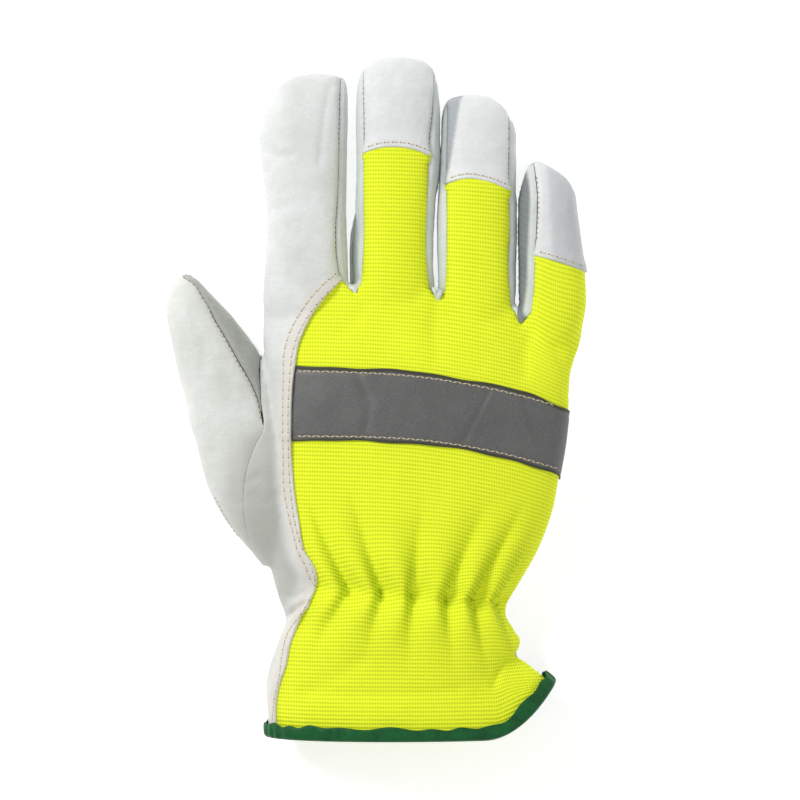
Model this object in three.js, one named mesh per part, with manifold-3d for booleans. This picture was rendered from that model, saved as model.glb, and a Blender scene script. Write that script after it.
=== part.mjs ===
// Right-hand driver glove, empty and lying on its palm, in millimetres.
// +Y runs from the cuff to the fingertips, -X is the thumb's side, +Z is up out of the back of the
// hand, and the floor is z = 0.
import * as THREE from "three";
import { mergeVertices } from "three/addons/utils/BufferGeometryUtils.js";
import Module from "manifold-3d";

const wasm = await Module();
wasm.setup();

// Hand
const handLength = 160;       // cuff edge to the roots of the index and middle fingers
const palmThickness = 30;     // height of the hand lying on its palm
const knuckleDrop = 12;       // the little finger's root sits this much lower
const hemLift = 18;           // the cuff edge runs up this far at the little finger's side
const flatten = 1.5;          // depth pressed flat where the leather lies on the floor

// Leather, knit and seams
const wall = 1.4;
const seamGap = 0.3;          // between neighbouring pieces
const bandThickness = 0.8;
const bandWidth = 26;
const hemThickness = 0.9;
const hemHeight = 5;

// Gathers over the wrist elastic
const elasticHeight = 53.5;   // from the cuff edge
const elasticTilt = 3.5;      // lower by this at the little finger's side, higher at the thumb's
const gatherDepth = 1.5;      // crests stand this much above the back, slits sink as far below
const gatherReach = 36;       // toward the fingers
const gatherFall = 30;        // toward the cuff
const pinchDepth = 1.6;       // the elastic draws the back in along its line
const pinchWidth = 5;

// Soft hollows pressed into the back
const dentDepth = 2.4;

// Fingers
const indexWidth = 31.2;
const indexLength = 83;
const middleWidth = 31;
const middleLength = 90;
const ringWidth = 27.4;
const ringLength = 81.7;
const littleWidth = 24.6;
const littleLength = 64;
const fingerThickness = 20.5;
const indexGap = 2.2;         // free space between index and middle finger
const middleGap = 0.8;
const ringGap = 1.4;

// Leather tips over the backs of three fingers, measured back from the fingertip
const middleCap = 35;
const ringCap = 33;
const littleCap = 35;
const capBow = 1.8;           // the middle of a tip's edge bows toward the fingertip
const middleSlant = 1;        // and its outer end sits lower by this
const ringSlant = 2.4;
const littleSlant = 6;

// Finger side strips
const stripInset = 2.6;       // the strip's upper seam stands in from the finger's side
const littleInset = 5.6;      // and further in on the little finger
const webDepth = 3;           // the strip's V reaches this far below the crotch

// Thumb
const thumbLength = 88.8;
const thumbWidth = 31.4;
const thumbThickness = 24;
const thumbAngle = 18.2;      // degrees, leaning away from the hand
const thumbRise = 86.5;       // height of its middle joint above the cuff edge
const thumbReach = 1.6;       // that joint stands outside the edge of the knuckles

const knuckleWidth = indexWidth + indexGap + middleWidth + middleGap + ringWidth + ringGap + littleWidth;

// Cross sections of the hand from cuff to knuckles, x = 0 at the middle of the knuckles.
// along: share of handLength. left, right: shares of knuckleWidth. top: share of palmThickness.
// round: squareness of the section. tilt, lift, drop: how much of the elastic's tilt, of the
// cuff's rise and of the knuckles' drop the section follows. base: 1 where it stands on the hem.
const handRows = [
  { along: 0.022, left: -0.474, right: 0.386, top: 1.12, round: 2.1, tilt: 0, lift: 1, drop: 0, base: 1 },
  { along: 0.069, left: -0.477, right: 0.324, top: 1.1, round: 2.1, tilt: 0, lift: 0.95, drop: 0, base: 1 },
  { along: 0.125, left: -0.483, right: 0.286, top: 1.06, round: 2.1, tilt: 0, lift: 0.67, drop: 0, base: 0 },
  { along: 0.175, left: -0.472, right: 0.297, top: 1.05, round: 2.1, tilt: 0, lift: 0.5, drop: 0, base: 0 },
  { along: 0.225, left: -0.449, right: 0.28, top: 1.06, round: 2.1, tilt: 0.2, lift: 0.28, drop: 0, base: 0 },
  { along: 0.272, left: -0.425, right: 0.263, top: 1.06, round: 2.1, tilt: 0.5, lift: 0.1, drop: 0, base: 0 },
  { along: 0.306, left: -0.446, right: 0.25, top: 1.04, round: 2.2, tilt: 0.8, lift: 0, drop: 0, base: 0 },
  { along: 0.335, left: -0.46, right: 0.252, top: 1.02, round: 2.2, tilt: 1, lift: 0, drop: 0, base: 0 },
  { along: 0.366, left: -0.471, right: 0.277, top: 1.03, round: 2.2, tilt: 1, lift: 0, drop: 0, base: 0 },
  { along: 0.406, left: -0.483, right: 0.315, top: 1.05, round: 2.2, tilt: 0.7, lift: 0, drop: 0, base: 0 },
  { along: 0.463, left: -0.492, right: 0.358, top: 1.05, round: 2.3, tilt: 0.4, lift: 0, drop: 0, base: 0 },
  { along: 0.538, left: -0.497, right: 0.395, top: 1.04, round: 2.3, tilt: 0.2, lift: 0, drop: 0, base: 0 },
  { along: 0.613, left: -0.498, right: 0.415, top: 1.02, round: 2.4, tilt: 0, lift: 0, drop: 0, base: 0 },
  { along: 0.688, left: -0.497, right: 0.432, top: 1, round: 2.4, tilt: 0, lift: 0, drop: 0, base: 0 },
  { along: 0.756, left: -0.494, right: 0.442, top: 0.98, round: 2.5, tilt: 0, lift: 0, drop: 0.1, base: 0 },
  { along: 0.819, left: -0.492, right: 0.448, top: 0.94, round: 2.6, tilt: 0, lift: 0, drop: 0.25, base: 0 },
  { along: 0.875, left: -0.495, right: 0.451, top: 0.88, round: 2.8, tilt: 0, lift: 0, drop: 0.45, base: 0 },
  { along: 0.925, left: -0.498, right: 0.463, top: 0.8, round: 2.9, tilt: 0, lift: 0, drop: 0.65, base: 0 },
  { along: 0.969, left: -0.498, right: 0.478, top: 0.72, round: 3, tilt: 0, lift: 0, drop: 0.85, base: 0 },
  { along: 1.02, left: -0.497, right: 0.494, top: 0.63, round: 3.2, tilt: 0, lift: 0, drop: 1, base: 0 },
];

// Gathers across the back: crest and slit are shares of the half width, height a share of
// gatherDepth. Each rises gently on the thumb's side and falls steeply into its slit.
const gatherRows = [
  { crest: -0.47, slit: -0.407, height: 0.8 },
  { crest: -0.2, slit: -0.14, height: 1 },
  { crest: 0.07, slit: 0.133, height: 1 },
  { crest: 0.345, slit: 0.407, height: 1.15 },
  { crest: 0.584, slit: 0.646, height: 1.1 },
  { crest: 0.805, slit: 0.885, height: 0.9 },
];

// Soft hollows in the back. across and wide: shares of the half width, along and long: shares of
// handLength, deep: share of dentDepth.
const dentRows = [
  { across: 0.84, wide: 0.18, along: 0.19, long: 0.04, deep: 1 },
  { across: -0.3, wide: 0.25, along: 0.15, long: 0.09, deep: 0.6 },
  { across: 0.55, wide: 0.17, along: 0.72, long: 0.13, deep: 0.5 },
  { across: -0.6, wide: 0.22, along: 0.62, long: 0.14, deep: 0.55 },
  { across: 0.1, wide: 0.1, along: 0.95, long: 0.09, deep: 0.4 },
  { across: 0.58, wide: 0.1, along: 0.88, long: 0.09, deep: 0.4 },
];

// Finger outlines. along: share of the finger's length from its root. left, right: shares of its
// width from its own middle line.
const indexRows = [
  { along: -0.33, left: -0.3, right: 0.4 },
  { along: -0.12, left: -0.45, right: 0.48 },
  { along: 0.02, left: -0.5, right: 0.5 },
  { along: 0.15, left: -0.48, right: 0.495 },
  { along: 0.28, left: -0.46, right: 0.49 },
  { along: 0.46, left: -0.48, right: 0.485 },
  { along: 0.59, left: -0.518, right: 0.49 },
  { along: 0.68, left: -0.547, right: 0.49 },
  { along: 0.742, left: -0.57, right: 0.495 },
  { along: 0.807, left: -0.523, right: 0.5 },
  { along: 0.86, left: -0.459, right: 0.505 },
  { along: 0.913, left: -0.377, right: 0.5 },
  { along: 0.957, left: -0.272, right: 0.475 },
  { along: 0.988, left: -0.12, right: 0.41 },
  { along: 1, left: 0.03, right: 0.26 },
];
const middleRows = [
  { along: -0.31, left: -0.4, right: 0.4 },
  { along: -0.11, left: -0.49, right: 0.48 },
  { along: 0.055, left: -0.506, right: 0.455 },
  { along: 0.22, left: -0.52, right: 0.43 },
  { along: 0.42, left: -0.488, right: 0.459 },
  { along: 0.58, left: -0.476, right: 0.49 },
  { along: 0.7, left: -0.476, right: 0.497 },
  { along: 0.826, left: -0.476, right: 0.497 },
  { along: 0.874, left: -0.47, right: 0.49 },
  { along: 0.915, left: -0.441, right: 0.476 },
  { along: 0.948, left: -0.412, right: 0.447 },
  { along: 0.976, left: -0.359, right: 0.359 },
  { along: 0.992, left: -0.288, right: 0.253 },
  { along: 1, left: -0.147, right: 0.1 },
];
const ringRows = [
  { along: -0.28, left: -0.4, right: 0.4 },
  { along: -0.05, left: -0.49, right: 0.485 },
  { along: 0.08, left: -0.52, right: 0.487 },
  { along: 0.3, left: -0.54, right: 0.48 },
  { along: 0.53, left: -0.53, right: 0.487 },
  { along: 0.62, left: -0.503, right: 0.493 },
  { along: 0.75, left: -0.493, right: 0.493 },
  { along: 0.84, left: -0.493, right: 0.487 },
  { along: 0.893, left: -0.487, right: 0.44 },
  { along: 0.933, left: -0.467, right: 0.367 },
  { along: 0.969, left: -0.413, right: 0.26 },
  { along: 0.989, left: -0.34, right: 0.167 },
  { along: 1, left: -0.207, right: 0.047 },
];
const littleRows = [
  { along: -0.22, left: -0.4, right: 0.05 },
  { along: -0.05, left: -0.48, right: 0.33 },
  { along: 0.15, left: -0.5, right: 0.485 },
  { along: 0.32, left: -0.5, right: 0.485 },
  { along: 0.55, left: -0.5, right: 0.426 },
  { along: 0.72, left: -0.5, right: 0.367 },
  { along: 0.808, left: -0.5, right: 0.337 },
  { along: 0.858, left: -0.47, right: 0.285 },
  { along: 0.905, left: -0.433, right: 0.196 },
  { along: 0.944, left: -0.396, right: 0.07 },
  { along: 0.972, left: -0.352, right: -0.056 },
  { along: 1, left: -0.278, right: -0.167 },
];

// Height of any finger along its length, as a share of fingerThickness.
const fingerHeights = [
  { along: -0.35, top: 0.6 },
  { along: -0.12, top: 0.88 },
  { along: 0.02, top: 1 },
  { along: 0.25, top: 1.02 },
  { along: 0.6, top: 1 },
  { along: 0.8, top: 0.94 },
  { along: 0.9, top: 0.84 },
  { along: 0.95, top: 0.73 },
  { along: 0.98, top: 0.6 },
  { along: 1, top: 0.42 },
];

// Thumb outline about its own axis, shares of thumbLength, thumbWidth and thumbThickness.
const thumbRows = [
  { along: -0.25, left: -0.17, right: 0.3, top: 0.85 },
  { along: -0.12, left: -0.31, right: 0.42, top: 1 },
  { along: -0.02, left: -0.42, right: 0.48, top: 1.06 },
  { along: 0.08, left: -0.478, right: 0.52, top: 1.08 },
  { along: 0.17, left: -0.494, right: 0.55, top: 1.08 },
  { along: 0.25, left: -0.478, right: 0.57, top: 1.06 },
  { along: 0.34, left: -0.459, right: 0.58, top: 1.04 },
  { along: 0.42, left: -0.452, right: 0.585, top: 1.02 },
  { along: 0.5, left: -0.424, right: 0.585, top: 1 },
  { along: 0.59, left: -0.417, right: 0.56, top: 0.98 },
  { along: 0.67, left: -0.401, right: 0.49, top: 0.94 },
  { along: 0.76, left: -0.373, right: 0.404, top: 0.88 },
  { along: 0.84, left: -0.344, right: 0.306, top: 0.8 },
  { along: 0.9, left: -0.306, right: 0.223, top: 0.7 },
  { along: 0.94, left: -0.242, right: 0.169, top: 0.61 },
  { along: 0.97, left: -0.166, right: 0.121, top: 0.52 },
  { along: 1, left: -0.06, right: 0.04, top: 0.38 },
];

// Seam between the two halves of the thumb, from its root up. across: share of thumbWidth.
const thumbSeamRows = [
  { along: 0.36, across: 0.33 },
  { along: 0.44, across: 0.312 },
  { along: 0.51, across: 0.29 },
  { along: 0.58, across: 0.264 },
  { along: 0.65, across: 0.239 },
  { along: 0.72, across: 0.204 },
  { along: 0.79, across: 0.175 },
  { along: 0.87, across: 0.137 },
  { along: 0.93, across: 0.105 },
  { along: 0.97, across: 0.06 },
  { along: 1.1, across: 0 },
];

// Seam where the thumb meets the palm, from the cuff up. along: share of thumbLength above
// thumbRise. out: share of thumbWidth outside the hand's edge.
const thumbRootRows = [
  { along: -0.235, out: 0.3 },
  { along: -0.185, out: 0.175 },
  { along: -0.127, out: 0.175 },
  { along: 0, out: 0.223 },
  { along: 0.107, out: 0.198 },
  { along: 0.206, out: 0.127 },
  { along: 0.251, out: 0.083 },
  { along: 0.312, out: 0.02 },
  { along: 0.467, out: 0.02 },
  { along: 0.61, out: 0.02 },
  { along: 1.28, out: 0.02 },
];

// Edge of the leather beside the knit. in: share of knuckleWidth inside the hand's edge.
const lapRows = [
  { along: -0.1, in: 0.031 },
  { along: 0.057, in: 0.031 },
  { along: 0.116, in: 0.034 },
  { along: 0.148, in: 0.048 },
  { along: 0.18, in: 0.051 },
  { along: 0.228, in: 0.04 },
  { along: 0.26, in: 0.046 },
  { along: 0.299, in: 0.065 },
  { along: 0.329, in: 0.0925 },
  { along: 0.358, in: 0.131 },
  { along: 0.376, in: 0.142 },
  { along: 0.404, in: 0.145 },
  { along: 0.438, in: 0.123 },
  { along: 0.511, in: 0.114 },
  { along: 0.584, in: 0.101 },
  { along: 0.652, in: 0.0955 },
  { along: 0.73, in: 0.091 },
  { along: 0.794, in: 0.0925 },
  { along: 0.851, in: 0.102 },
  { along: 0.901, in: 0.114 },
  { along: 0.944, in: 0.136 },
  { along: 0.979, in: 0.157 },
  { along: 1.011, in: 0.188 },
];

// Height of the side seam between palm leather and back. along: share of handLength, height:
// share of palmThickness.
const sideSeamRows = [
  { along: -0.2, height: 0.47 },
  { along: 0.3, height: 0.45 },
  { along: 0.62, height: 0.42 },
  { along: 0.81, height: 0.38 },
  { along: 0.94, height: 0.3 },
  { along: 1.03, height: 0.26 },
  { along: 2, height: 0.24 },
];

// Middle line of the reflective band. across: share of knuckleWidth, along: share of handLength.
const bandRows = [
  { across: -0.55, along: 0.777 },
  { across: -0.4, along: 0.773 },
  { across: 0.047, along: 0.755 },
  { across: 0.25, along: 0.728 },
  { across: 0.43, along: 0.688 },
  { across: 0.6, along: 0.65 },
];

const ease = (value) => Math.min(1, Math.max(0, value));

// Value of one column between the rows of a table.
function read(rows, key, value, column) {
  const last = rows.length - 1;
  if (value <= rows[0][key]) return rows[0][column];
  if (value >= rows[last][key]) return rows[last][column];
  const next = rows.findIndex((row) => row[key] > value);
  const below = rows[next - 1];
  const above = rows[next];
  const share = (value - below[key]) / (above[key] - below[key]);
  return below[column] + share * (above[column] - below[column]);
}

// Closed body through a row of rings with equal numbers of points.
function loft(rings) {
  const count = rings[0].length;
  const points = rings.flat();
  const index = [];
  for (let ring = 0; ring + 1 < rings.length; ring += 1) {
    for (let spot = 0; spot < count; spot += 1) {
      const beside = (spot + 1) % count;
      const a = ring * count + spot;
      const b = ring * count + beside;
      index.push(a, b, b + count, a, b + count, a + count);
    }
  }
  const ends = [
    { ring: 0, flip: true },
    { ring: rings.length - 1, flip: false },
  ];
  for (const end of ends) {
    const centre = new THREE.Vector3();
    rings[end.ring].forEach((point) => centre.addScaledVector(point, 1 / count));
    points.push(centre);
    for (let spot = 0; spot < count; spot += 1) {
      const a = end.ring * count + spot;
      const b = end.ring * count + ((spot + 1) % count);
      index.push(...(end.flip ? [b, a] : [a, b]), points.length - 1);
    }
  }
  return toGeometry(points, index);
}

// Indexed geometry whose faces point out.
function toGeometry(points, index) {
  let volume = 0;
  for (let at = 0; at < index.length; at += 3) {
    const corner = index.slice(at, at + 3).map((spot) => points[spot]);
    volume += corner[0].dot(corner[1].clone().cross(corner[2]));
  }
  const facing = volume < 0 ? index.slice().reverse() : index;
  const geometry = new THREE.BufferGeometry();
  geometry.setAttribute("position", new THREE.Float32BufferAttribute(points.flatMap((p) => p.toArray()), 3));
  geometry.setIndex(facing);
  return geometry;
}

// Solid for joining and cutting, from any closed geometry.
function toSolid(geometry) {
  const bare = geometry.clone();
  bare.deleteAttribute("normal");
  bare.deleteAttribute("uv");
  const merged = mergeVertices(bare, 1e-4);
  return new wasm.Manifold(new wasm.Mesh({
    numProp: 3,
    vertProperties: new Float32Array(merged.attributes.position.array),
    triVerts: new Uint32Array(merged.index.array),
  }));
}

function box(xMin, xMax, yMin, yMax, zMin, zMax) {
  const block = new THREE.BoxGeometry(xMax - xMin, yMax - yMin, zMax - zMin);
  block.translate((xMin + xMax) / 2, (yMin + yMax) / 2, (zMin + zMax) / 2);
  return toSolid(block);
}

// Moves a closed outline inward by a distance, or outward when it is negative.
function inset(outline, distance) {
  const turn = THREE.ShapeUtils.area(outline) > 0 ? 1 : -1;
  return outline.map((point, spot) => {
    const before = outline[(spot + outline.length - 1) % outline.length];
    const after = outline[(spot + 1) % outline.length];
    const into = point.clone().sub(before).normalize();
    const away = after.clone().sub(point).normalize();
    const normal = new THREE.Vector2(-into.y - away.y, into.x + away.x).normalize();
    const spread = Math.max(0.5, normal.dot(new THREE.Vector2(-away.y, away.x)));
    return point.clone().addScaledVector(normal, turn * distance / spread);
  });
}

const reach = 120;            // cutters run this far past the glove

// Upright prism over an outline.
function prism(outline) {
  const block = new THREE.ExtrudeGeometry(new THREE.Shape(outline), { depth: reach, bevelEnabled: false });
  block.translate(0, 0, -reach / 4);
  return toSolid(block);
}

// Everything above the side seam, raised by a distance.
function aboveSeam(raise) {
  const profile = sideSeamRows.map((row) => (
    new THREE.Vector2(row.along * handLength, row.height * palmThickness + raise)
  ));
  const last = profile[profile.length - 1];
  profile.push(new THREE.Vector2(last.x, reach), new THREE.Vector2(profile[0].x, reach));
  const block = new THREE.ExtrudeGeometry(new THREE.Shape(profile), { depth: 4 * reach, bevelEnabled: false });
  const turned = new THREE.Matrix4().makeBasis(
    new THREE.Vector3(0, 1, 0),
    new THREE.Vector3(0, 0, 1),
    new THREE.Vector3(1, 0, 0),
  );
  block.applyMatrix4(turned);
  block.translate(-2 * reach, 0, 0);
  return toSolid(block);
}

// Stations across the back of the hand: extra ones follow the gathers.
function backStations() {
  const stations = [-1, -0.98, -0.92, -0.82, -0.7, -0.58];
  gatherRows.forEach((row, spot) => {
    stations.push(row.crest, row.slit);
    const next = gatherRows[spot + 1];
    if (next) {
      stations.push((row.slit + next.crest) / 2);
    }
  });
  stations.push(0.94, 0.985, 1);
  return stations;
}

const palmStations = [0.97, 0.88, 0.74, 0.55, 0.2, -0.2, -0.55, -0.74, -0.88, -0.97];

// Rise and fall of the gathers across the back, from -1 in a slit to 1 on a crest.
function gatherAt(across) {
  const profile = [{ across: -0.68, rise: 0 }];
  for (const row of gatherRows) {
    profile.push({ across: row.crest, rise: row.height });
    profile.push({ across: row.slit, rise: -row.height });
  }
  profile.push({ across: 0.96, rise: 0 });
  return read(profile, "across", across, "rise");
}

// Height added to the back at a point: gathers, the drawn-in elastic line and soft hollows.
function backRelief(across, y) {
  const beyond = y - (elasticHeight - elasticTilt * across);
  const fade = ease(1 - (beyond > 0 ? beyond / gatherReach : -beyond / gatherFall)) ** 1.4;
  let rise = gatherDepth * gatherAt(across) * fade;
  rise -= pinchDepth * Math.exp(-((beyond / pinchWidth) ** 2));
  for (const dent of dentRows) {
    const beside = (across - dent.across) / dent.wide;
    const before = (y / handLength - dent.along) / dent.long;
    rise -= dentDepth * dent.deep * Math.exp(-beside * beside - before * before);
  }
  return rise * ease((1 - across * across) * 4);
}

const cornerAt = (across) => ease((across - 0.5) / 0.5) ** 2;
const shoulderAt = (across) => ease((across + 0.1) / 0.75) ** 1.5;

// One cross section of the hand, grown outward by a distance.
function handRing(row, grow, shift) {
  const left = row.left * knuckleWidth - grow;
  const right = row.right * knuckleWidth + grow;
  const half = (right - left) / 2;
  const top = row.top * palmThickness;
  const waist = top * 0.45;
  const stand = row.base * (hemThickness + seamGap) - grow;
  const place = (across, upper) => {
    const bulge = ease(1 - Math.abs(across) ** row.round) ** (1 / row.round);
    const y = row.along * handLength - row.tilt * elasticTilt * across + row.lift * hemLift * cornerAt(across)
      - row.drop * knuckleDrop * shoulderAt(across);
    const relief = upper ? backRelief(across, y) : 0;
    const height = upper
      ? waist + (top + grow - waist) * bulge + relief
      : waist - (waist + flatten + grow) * bulge;
    const z = row.base ? Math.max(height, stand) : height;
    return new THREE.Vector3((left + right) / 2 + across * half, y + shift, z);
  };
  return [
    ...backStations().map((across) => place(across, true)),
    ...palmStations.map((across) => place(across, false)),
  ];
}

// Sections of the hand, ending between the fingers in an upright wall.
function handRings(grow, shift) {
  const rings = handRows.map((row) => handRing(row, grow, 0));
  const front = rings[rings.length - 1];
  front.forEach((point) => { point.y += shift; });
  const waist = handRows[handRows.length - 1].top * palmThickness * 0.45;
  rings.push(front.map((point) => new THREE.Vector3(point.x, point.y, waist + (point.z - waist) * 0.05)));
  return rings;
}

// Fingers side by side across the knuckles.
const fingers = [
  { name: "index", width: indexWidth, length: indexLength, rows: indexRows, gap: 0 },
  { name: "middle", width: middleWidth, length: middleLength, rows: middleRows, gap: indexGap },
  { name: "ring", width: ringWidth, length: ringLength, rows: ringRows, gap: middleGap },
  { name: "little", width: littleWidth, length: littleLength, rows: littleRows, gap: ringGap },
];
let edge = -knuckleWidth / 2;
for (const finger of fingers) {
  finger.left = edge + finger.gap;
  finger.right = finger.left + finger.width;
  finger.middle = (finger.left + finger.right) / 2;
  finger.root = handLength - knuckleDrop * shoulderAt(2 * finger.middle / knuckleWidth);
  finger.tip = finger.root + finger.length;
  edge = finger.right;
}

// Sections of a finger or thumb: soft squares flattened underneath.
function digitRings(digit, grow, turns) {
  const axis = new THREE.Vector3(-Math.sin(digit.lean), Math.cos(digit.lean), 0);
  const side = new THREE.Vector3(Math.cos(digit.lean), Math.sin(digit.lean), 0);
  return digit.rows.map((row) => {
    const left = row.left * digit.width - grow;
    const right = row.right * digit.width + grow;
    const half = Math.max(0.6, (right - left) / 2);
    const top = digit.topAt(row) * digit.thickness + grow;
    const waist = digit.topAt(row) * digit.thickness * 0.45;
    const along = row.along * digit.length + grow * ease(row.along);
    const ring = [];
    for (let turn = 0; turn < turns; turn += 1) {
      const angle = 2 * Math.PI * (turn + 0.5) / turns;
      const across = Math.sign(Math.cos(angle)) * Math.abs(Math.cos(angle)) ** 0.82;
      const bulge = Math.sign(Math.sin(angle)) * Math.abs(Math.sin(angle)) ** 0.82;
      const height = bulge > 0 ? top - waist : waist + flatten + grow;
      const point = digit.start.clone().addScaledVector(axis, along);
      point.addScaledVector(side, (left + right) / 2 + across * half);
      point.z = waist + bulge * height;
      ring.push(point);
    }
    return ring;
  });
}

const digits = fingers.map((finger) => ({
  rows: finger.rows,
  width: finger.width,
  length: finger.length,
  thickness: fingerThickness,
  lean: 0,
  start: new THREE.Vector3(finger.middle, finger.root, 0),
  topAt: (row) => read(fingerHeights, "along", row.along, "top"),
}));
const thumb = {
  rows: thumbRows,
  width: thumbWidth,
  length: thumbLength,
  thickness: thumbThickness,
  lean: THREE.MathUtils.degToRad(thumbAngle),
  start: new THREE.Vector3(-knuckleWidth / 2 - thumbReach, thumbRise, 0),
  topAt: (row) => row.top,
};
digits.push(thumb);

// The whole glove's form, cut level with the floor, and its hollow, open at the cuff.
function form(grow) {
  const rings = handRings(grow, grow);
  if (grow < 0) rings.unshift(handRing(handRows[0], grow, -2 * hemHeight));
  let whole = toSolid(loft(rings));
  for (const digit of digits) {
    whole = whole.add(toSolid(loft(digitRings(digit, grow, grow < 0 ? 12 : 16))));
  }
  return whole.intersect(box(-2 * reach, 2 * reach, -reach, 3 * reach, -grow, reach));
}

const shell = form(0).subtract(form(-wall));

// Outlines of the panels, seen from above
const at = (x, y) => new THREE.Vector2(x, y);
const handLeft = (y) => read(handRows, "along", y / handLength, "left") * knuckleWidth;
const frontY = (x) => {
  const front = handRows[handRows.length - 1];
  return front.along * handLength - knuckleDrop * shoulderAt(2 * x / knuckleWidth);
};

const lapEdge = lapRows.map((row) => {
  const y = row.along * handLength;
  return at(handLeft(y) + row.in * knuckleWidth, y);
});
const [index, middle, ring, little] = fingers;

// V under a crotch, from the seam of one finger to the seam of the next.
function web(fromX, toX) {
  const middleX = (fromX + toX) / 2;
  const y = frontY(middleX);
  return [at(fromX, y + webDepth), at(middleX, y - webDepth), at(toX, y + webDepth)];
}

const seams = {
  indexRight: index.right - stripInset,
  middleLeft: middle.left + stripInset,
  middleRight: middle.right - stripInset,
  ringLeft: ring.left + stripInset,
  ringRight: ring.right - stripInset,
  littleLeft: little.left + littleInset,
};
const beyondTips = handLength + middleLength + reach / 4;
const farRight = knuckleWidth;
const capEdges = {
  middle: [
    at(seams.middleLeft, middle.tip - middleCap),
    at(middle.middle, middle.tip - middleCap + capBow),
    at(seams.middleRight, middle.tip - middleCap - middleSlant),
  ],
  ring: [
    at(seams.ringLeft, ring.tip - ringCap),
    at(ring.middle - ringWidth / 6, ring.tip - ringCap + capBow),
    at(seams.ringRight, ring.tip - ringCap - ringSlant),
  ],
  little: [
    at(seams.littleLeft, little.tip - littleCap),
    at(little.right, little.tip - littleCap - littleSlant),
    at(farRight, little.tip - littleCap - littleSlant),
  ],
};
const webs = {
  indexMiddle: web(seams.indexRight, seams.middleLeft),
  middleRing: web(seams.middleRight, seams.ringLeft),
  ringLittle: web(seams.ringRight, seams.littleLeft),
};

const strip = (foot) => [
  ...foot,
  at(foot[2].x, beyondTips),
  at(foot[0].x, beyondTips),
];
const cap = (lower) => [
  ...lower,
  at(lower[lower.length - 1].x, beyondTips),
  at(lower[0].x, beyondTips),
];
const backOutline = [
  ...lapEdge,
  ...webs.indexMiddle,
  ...capEdges.middle,
  ...webs.middleRing,
  ...capEdges.ring,
  ...webs.ringLittle,
  ...capEdges.little,
  at(farRight, -0.1 * handLength),
];

// Thumb seams
const thumbAxis = at(-Math.sin(thumb.lean), Math.cos(thumb.lean));
const thumbSide = at(Math.cos(thumb.lean), Math.sin(thumb.lean));
const thumbRoot = thumbRootRows.map((row) => {
  const y = thumbRise + row.along * thumbLength;
  return at(handLeft(y) - row.out * thumbWidth, y);
});
const thumbSeam = thumbSeamRows.map((row) => (
  at(thumb.start.x, thumb.start.y)
    .addScaledVector(thumbAxis, row.along * thumbLength)
    .addScaledVector(thumbSide, row.across * thumbWidth)
));
const fork = thumbRoot.findIndex((point) => point.y >= thumbSeam[0].y - 1);
const farLeft = -2 * knuckleWidth;
const thumbOuterOutline = [
  at(farLeft, thumbRoot[0].y),
  ...thumbRoot.slice(0, fork),
  ...thumbSeam,
  at(farLeft, thumbSeam[thumbSeam.length - 1].y),
];
const thumbInnerOutline = [
  thumbRoot[fork - 1],
  ...thumbRoot.slice(fork),
  ...thumbSeam.slice().reverse(),
];

// Body of a cut with the most material, leaving out slivers.
function main(solid) {
  const bodies = solid.decompose();
  return bodies.reduce((best, body) => (body.volume() > best.volume() ? body : best));
}

const upperPanels = [
  { name: "back_knit", outline: backOutline, colour: 0xe8f434, roughness: 0.9 },
  { name: "fourchette_index_middle", outline: strip(webs.indexMiddle), colour: 0xb9bbb4, roughness: 0.7 },
  { name: "fourchette_middle_ring", outline: strip(webs.middleRing), colour: 0x969ea0, roughness: 0.7 },
  { name: "fourchette_ring_little", outline: strip(webs.ringLittle), colour: 0xb2b6b2, roughness: 0.7 },
  { name: "cap_middle", outline: cap(capEdges.middle), colour: 0xe3e5e4, roughness: 0.65 },
  { name: "cap_ring", outline: cap(capEdges.ring), colour: 0xe3e5e4, roughness: 0.65 },
  { name: "cap_little", outline: cap(capEdges.little), colour: 0xd0d3d2, roughness: 0.65 },
];
const thumbPanels = [
  { name: "thumb_outer", outline: thumbOuterOutline, colour: 0xd5d7d2, roughness: 0.65 },
  { name: "thumb_inner", outline: thumbInnerOutline, colour: 0xa9aca5, roughness: 0.7 },
];

const pieces = [];
const upperCut = aboveSeam(seamGap / 2);
const upperClear = aboveSeam(-seamGap / 2);
let palm = shell;
for (const panel of upperPanels) {
  const cut = shell.intersect(prism(inset(panel.outline, seamGap / 2))).intersect(upperCut);
  pieces.push({ ...panel, solid: main(cut) });
  palm = palm.subtract(prism(inset(panel.outline, -seamGap / 2)).intersect(upperClear));
}
for (const panel of thumbPanels) {
  const cut = shell.intersect(prism(inset(panel.outline, seamGap / 2)));
  pieces.push({ ...panel, solid: main(cut) });
  palm = palm.subtract(prism(inset(panel.outline, -seamGap / 2)));
}
pieces.push({ name: "palm_leather", solid: main(palm), colour: 0xb8b9b1, roughness: 0.7 });

// Reflective band, lying on the knit and ending at the leather's edge
const bandLine = (offset) => bandRows.map((row) => (
  at(row.across * knuckleWidth, row.along * handLength + offset)
));
const bandOutline = [...bandLine(-bandWidth / 2), ...bandLine(bandWidth / 2).reverse()];
const bandShell = toSolid(loft(handRings(seamGap + bandThickness, 0)))
  .subtract(toSolid(loft(handRings(seamGap, 0))));
const band = bandShell
  .intersect(prism(bandOutline))
  .intersect(prism(inset(backOutline, seamGap)))
  .intersect(aboveSeam(seamGap));
pieces.push({ name: "reflective_band", solid: main(band), colour: 0x6c6c6a, roughness: 0.55 });

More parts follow.
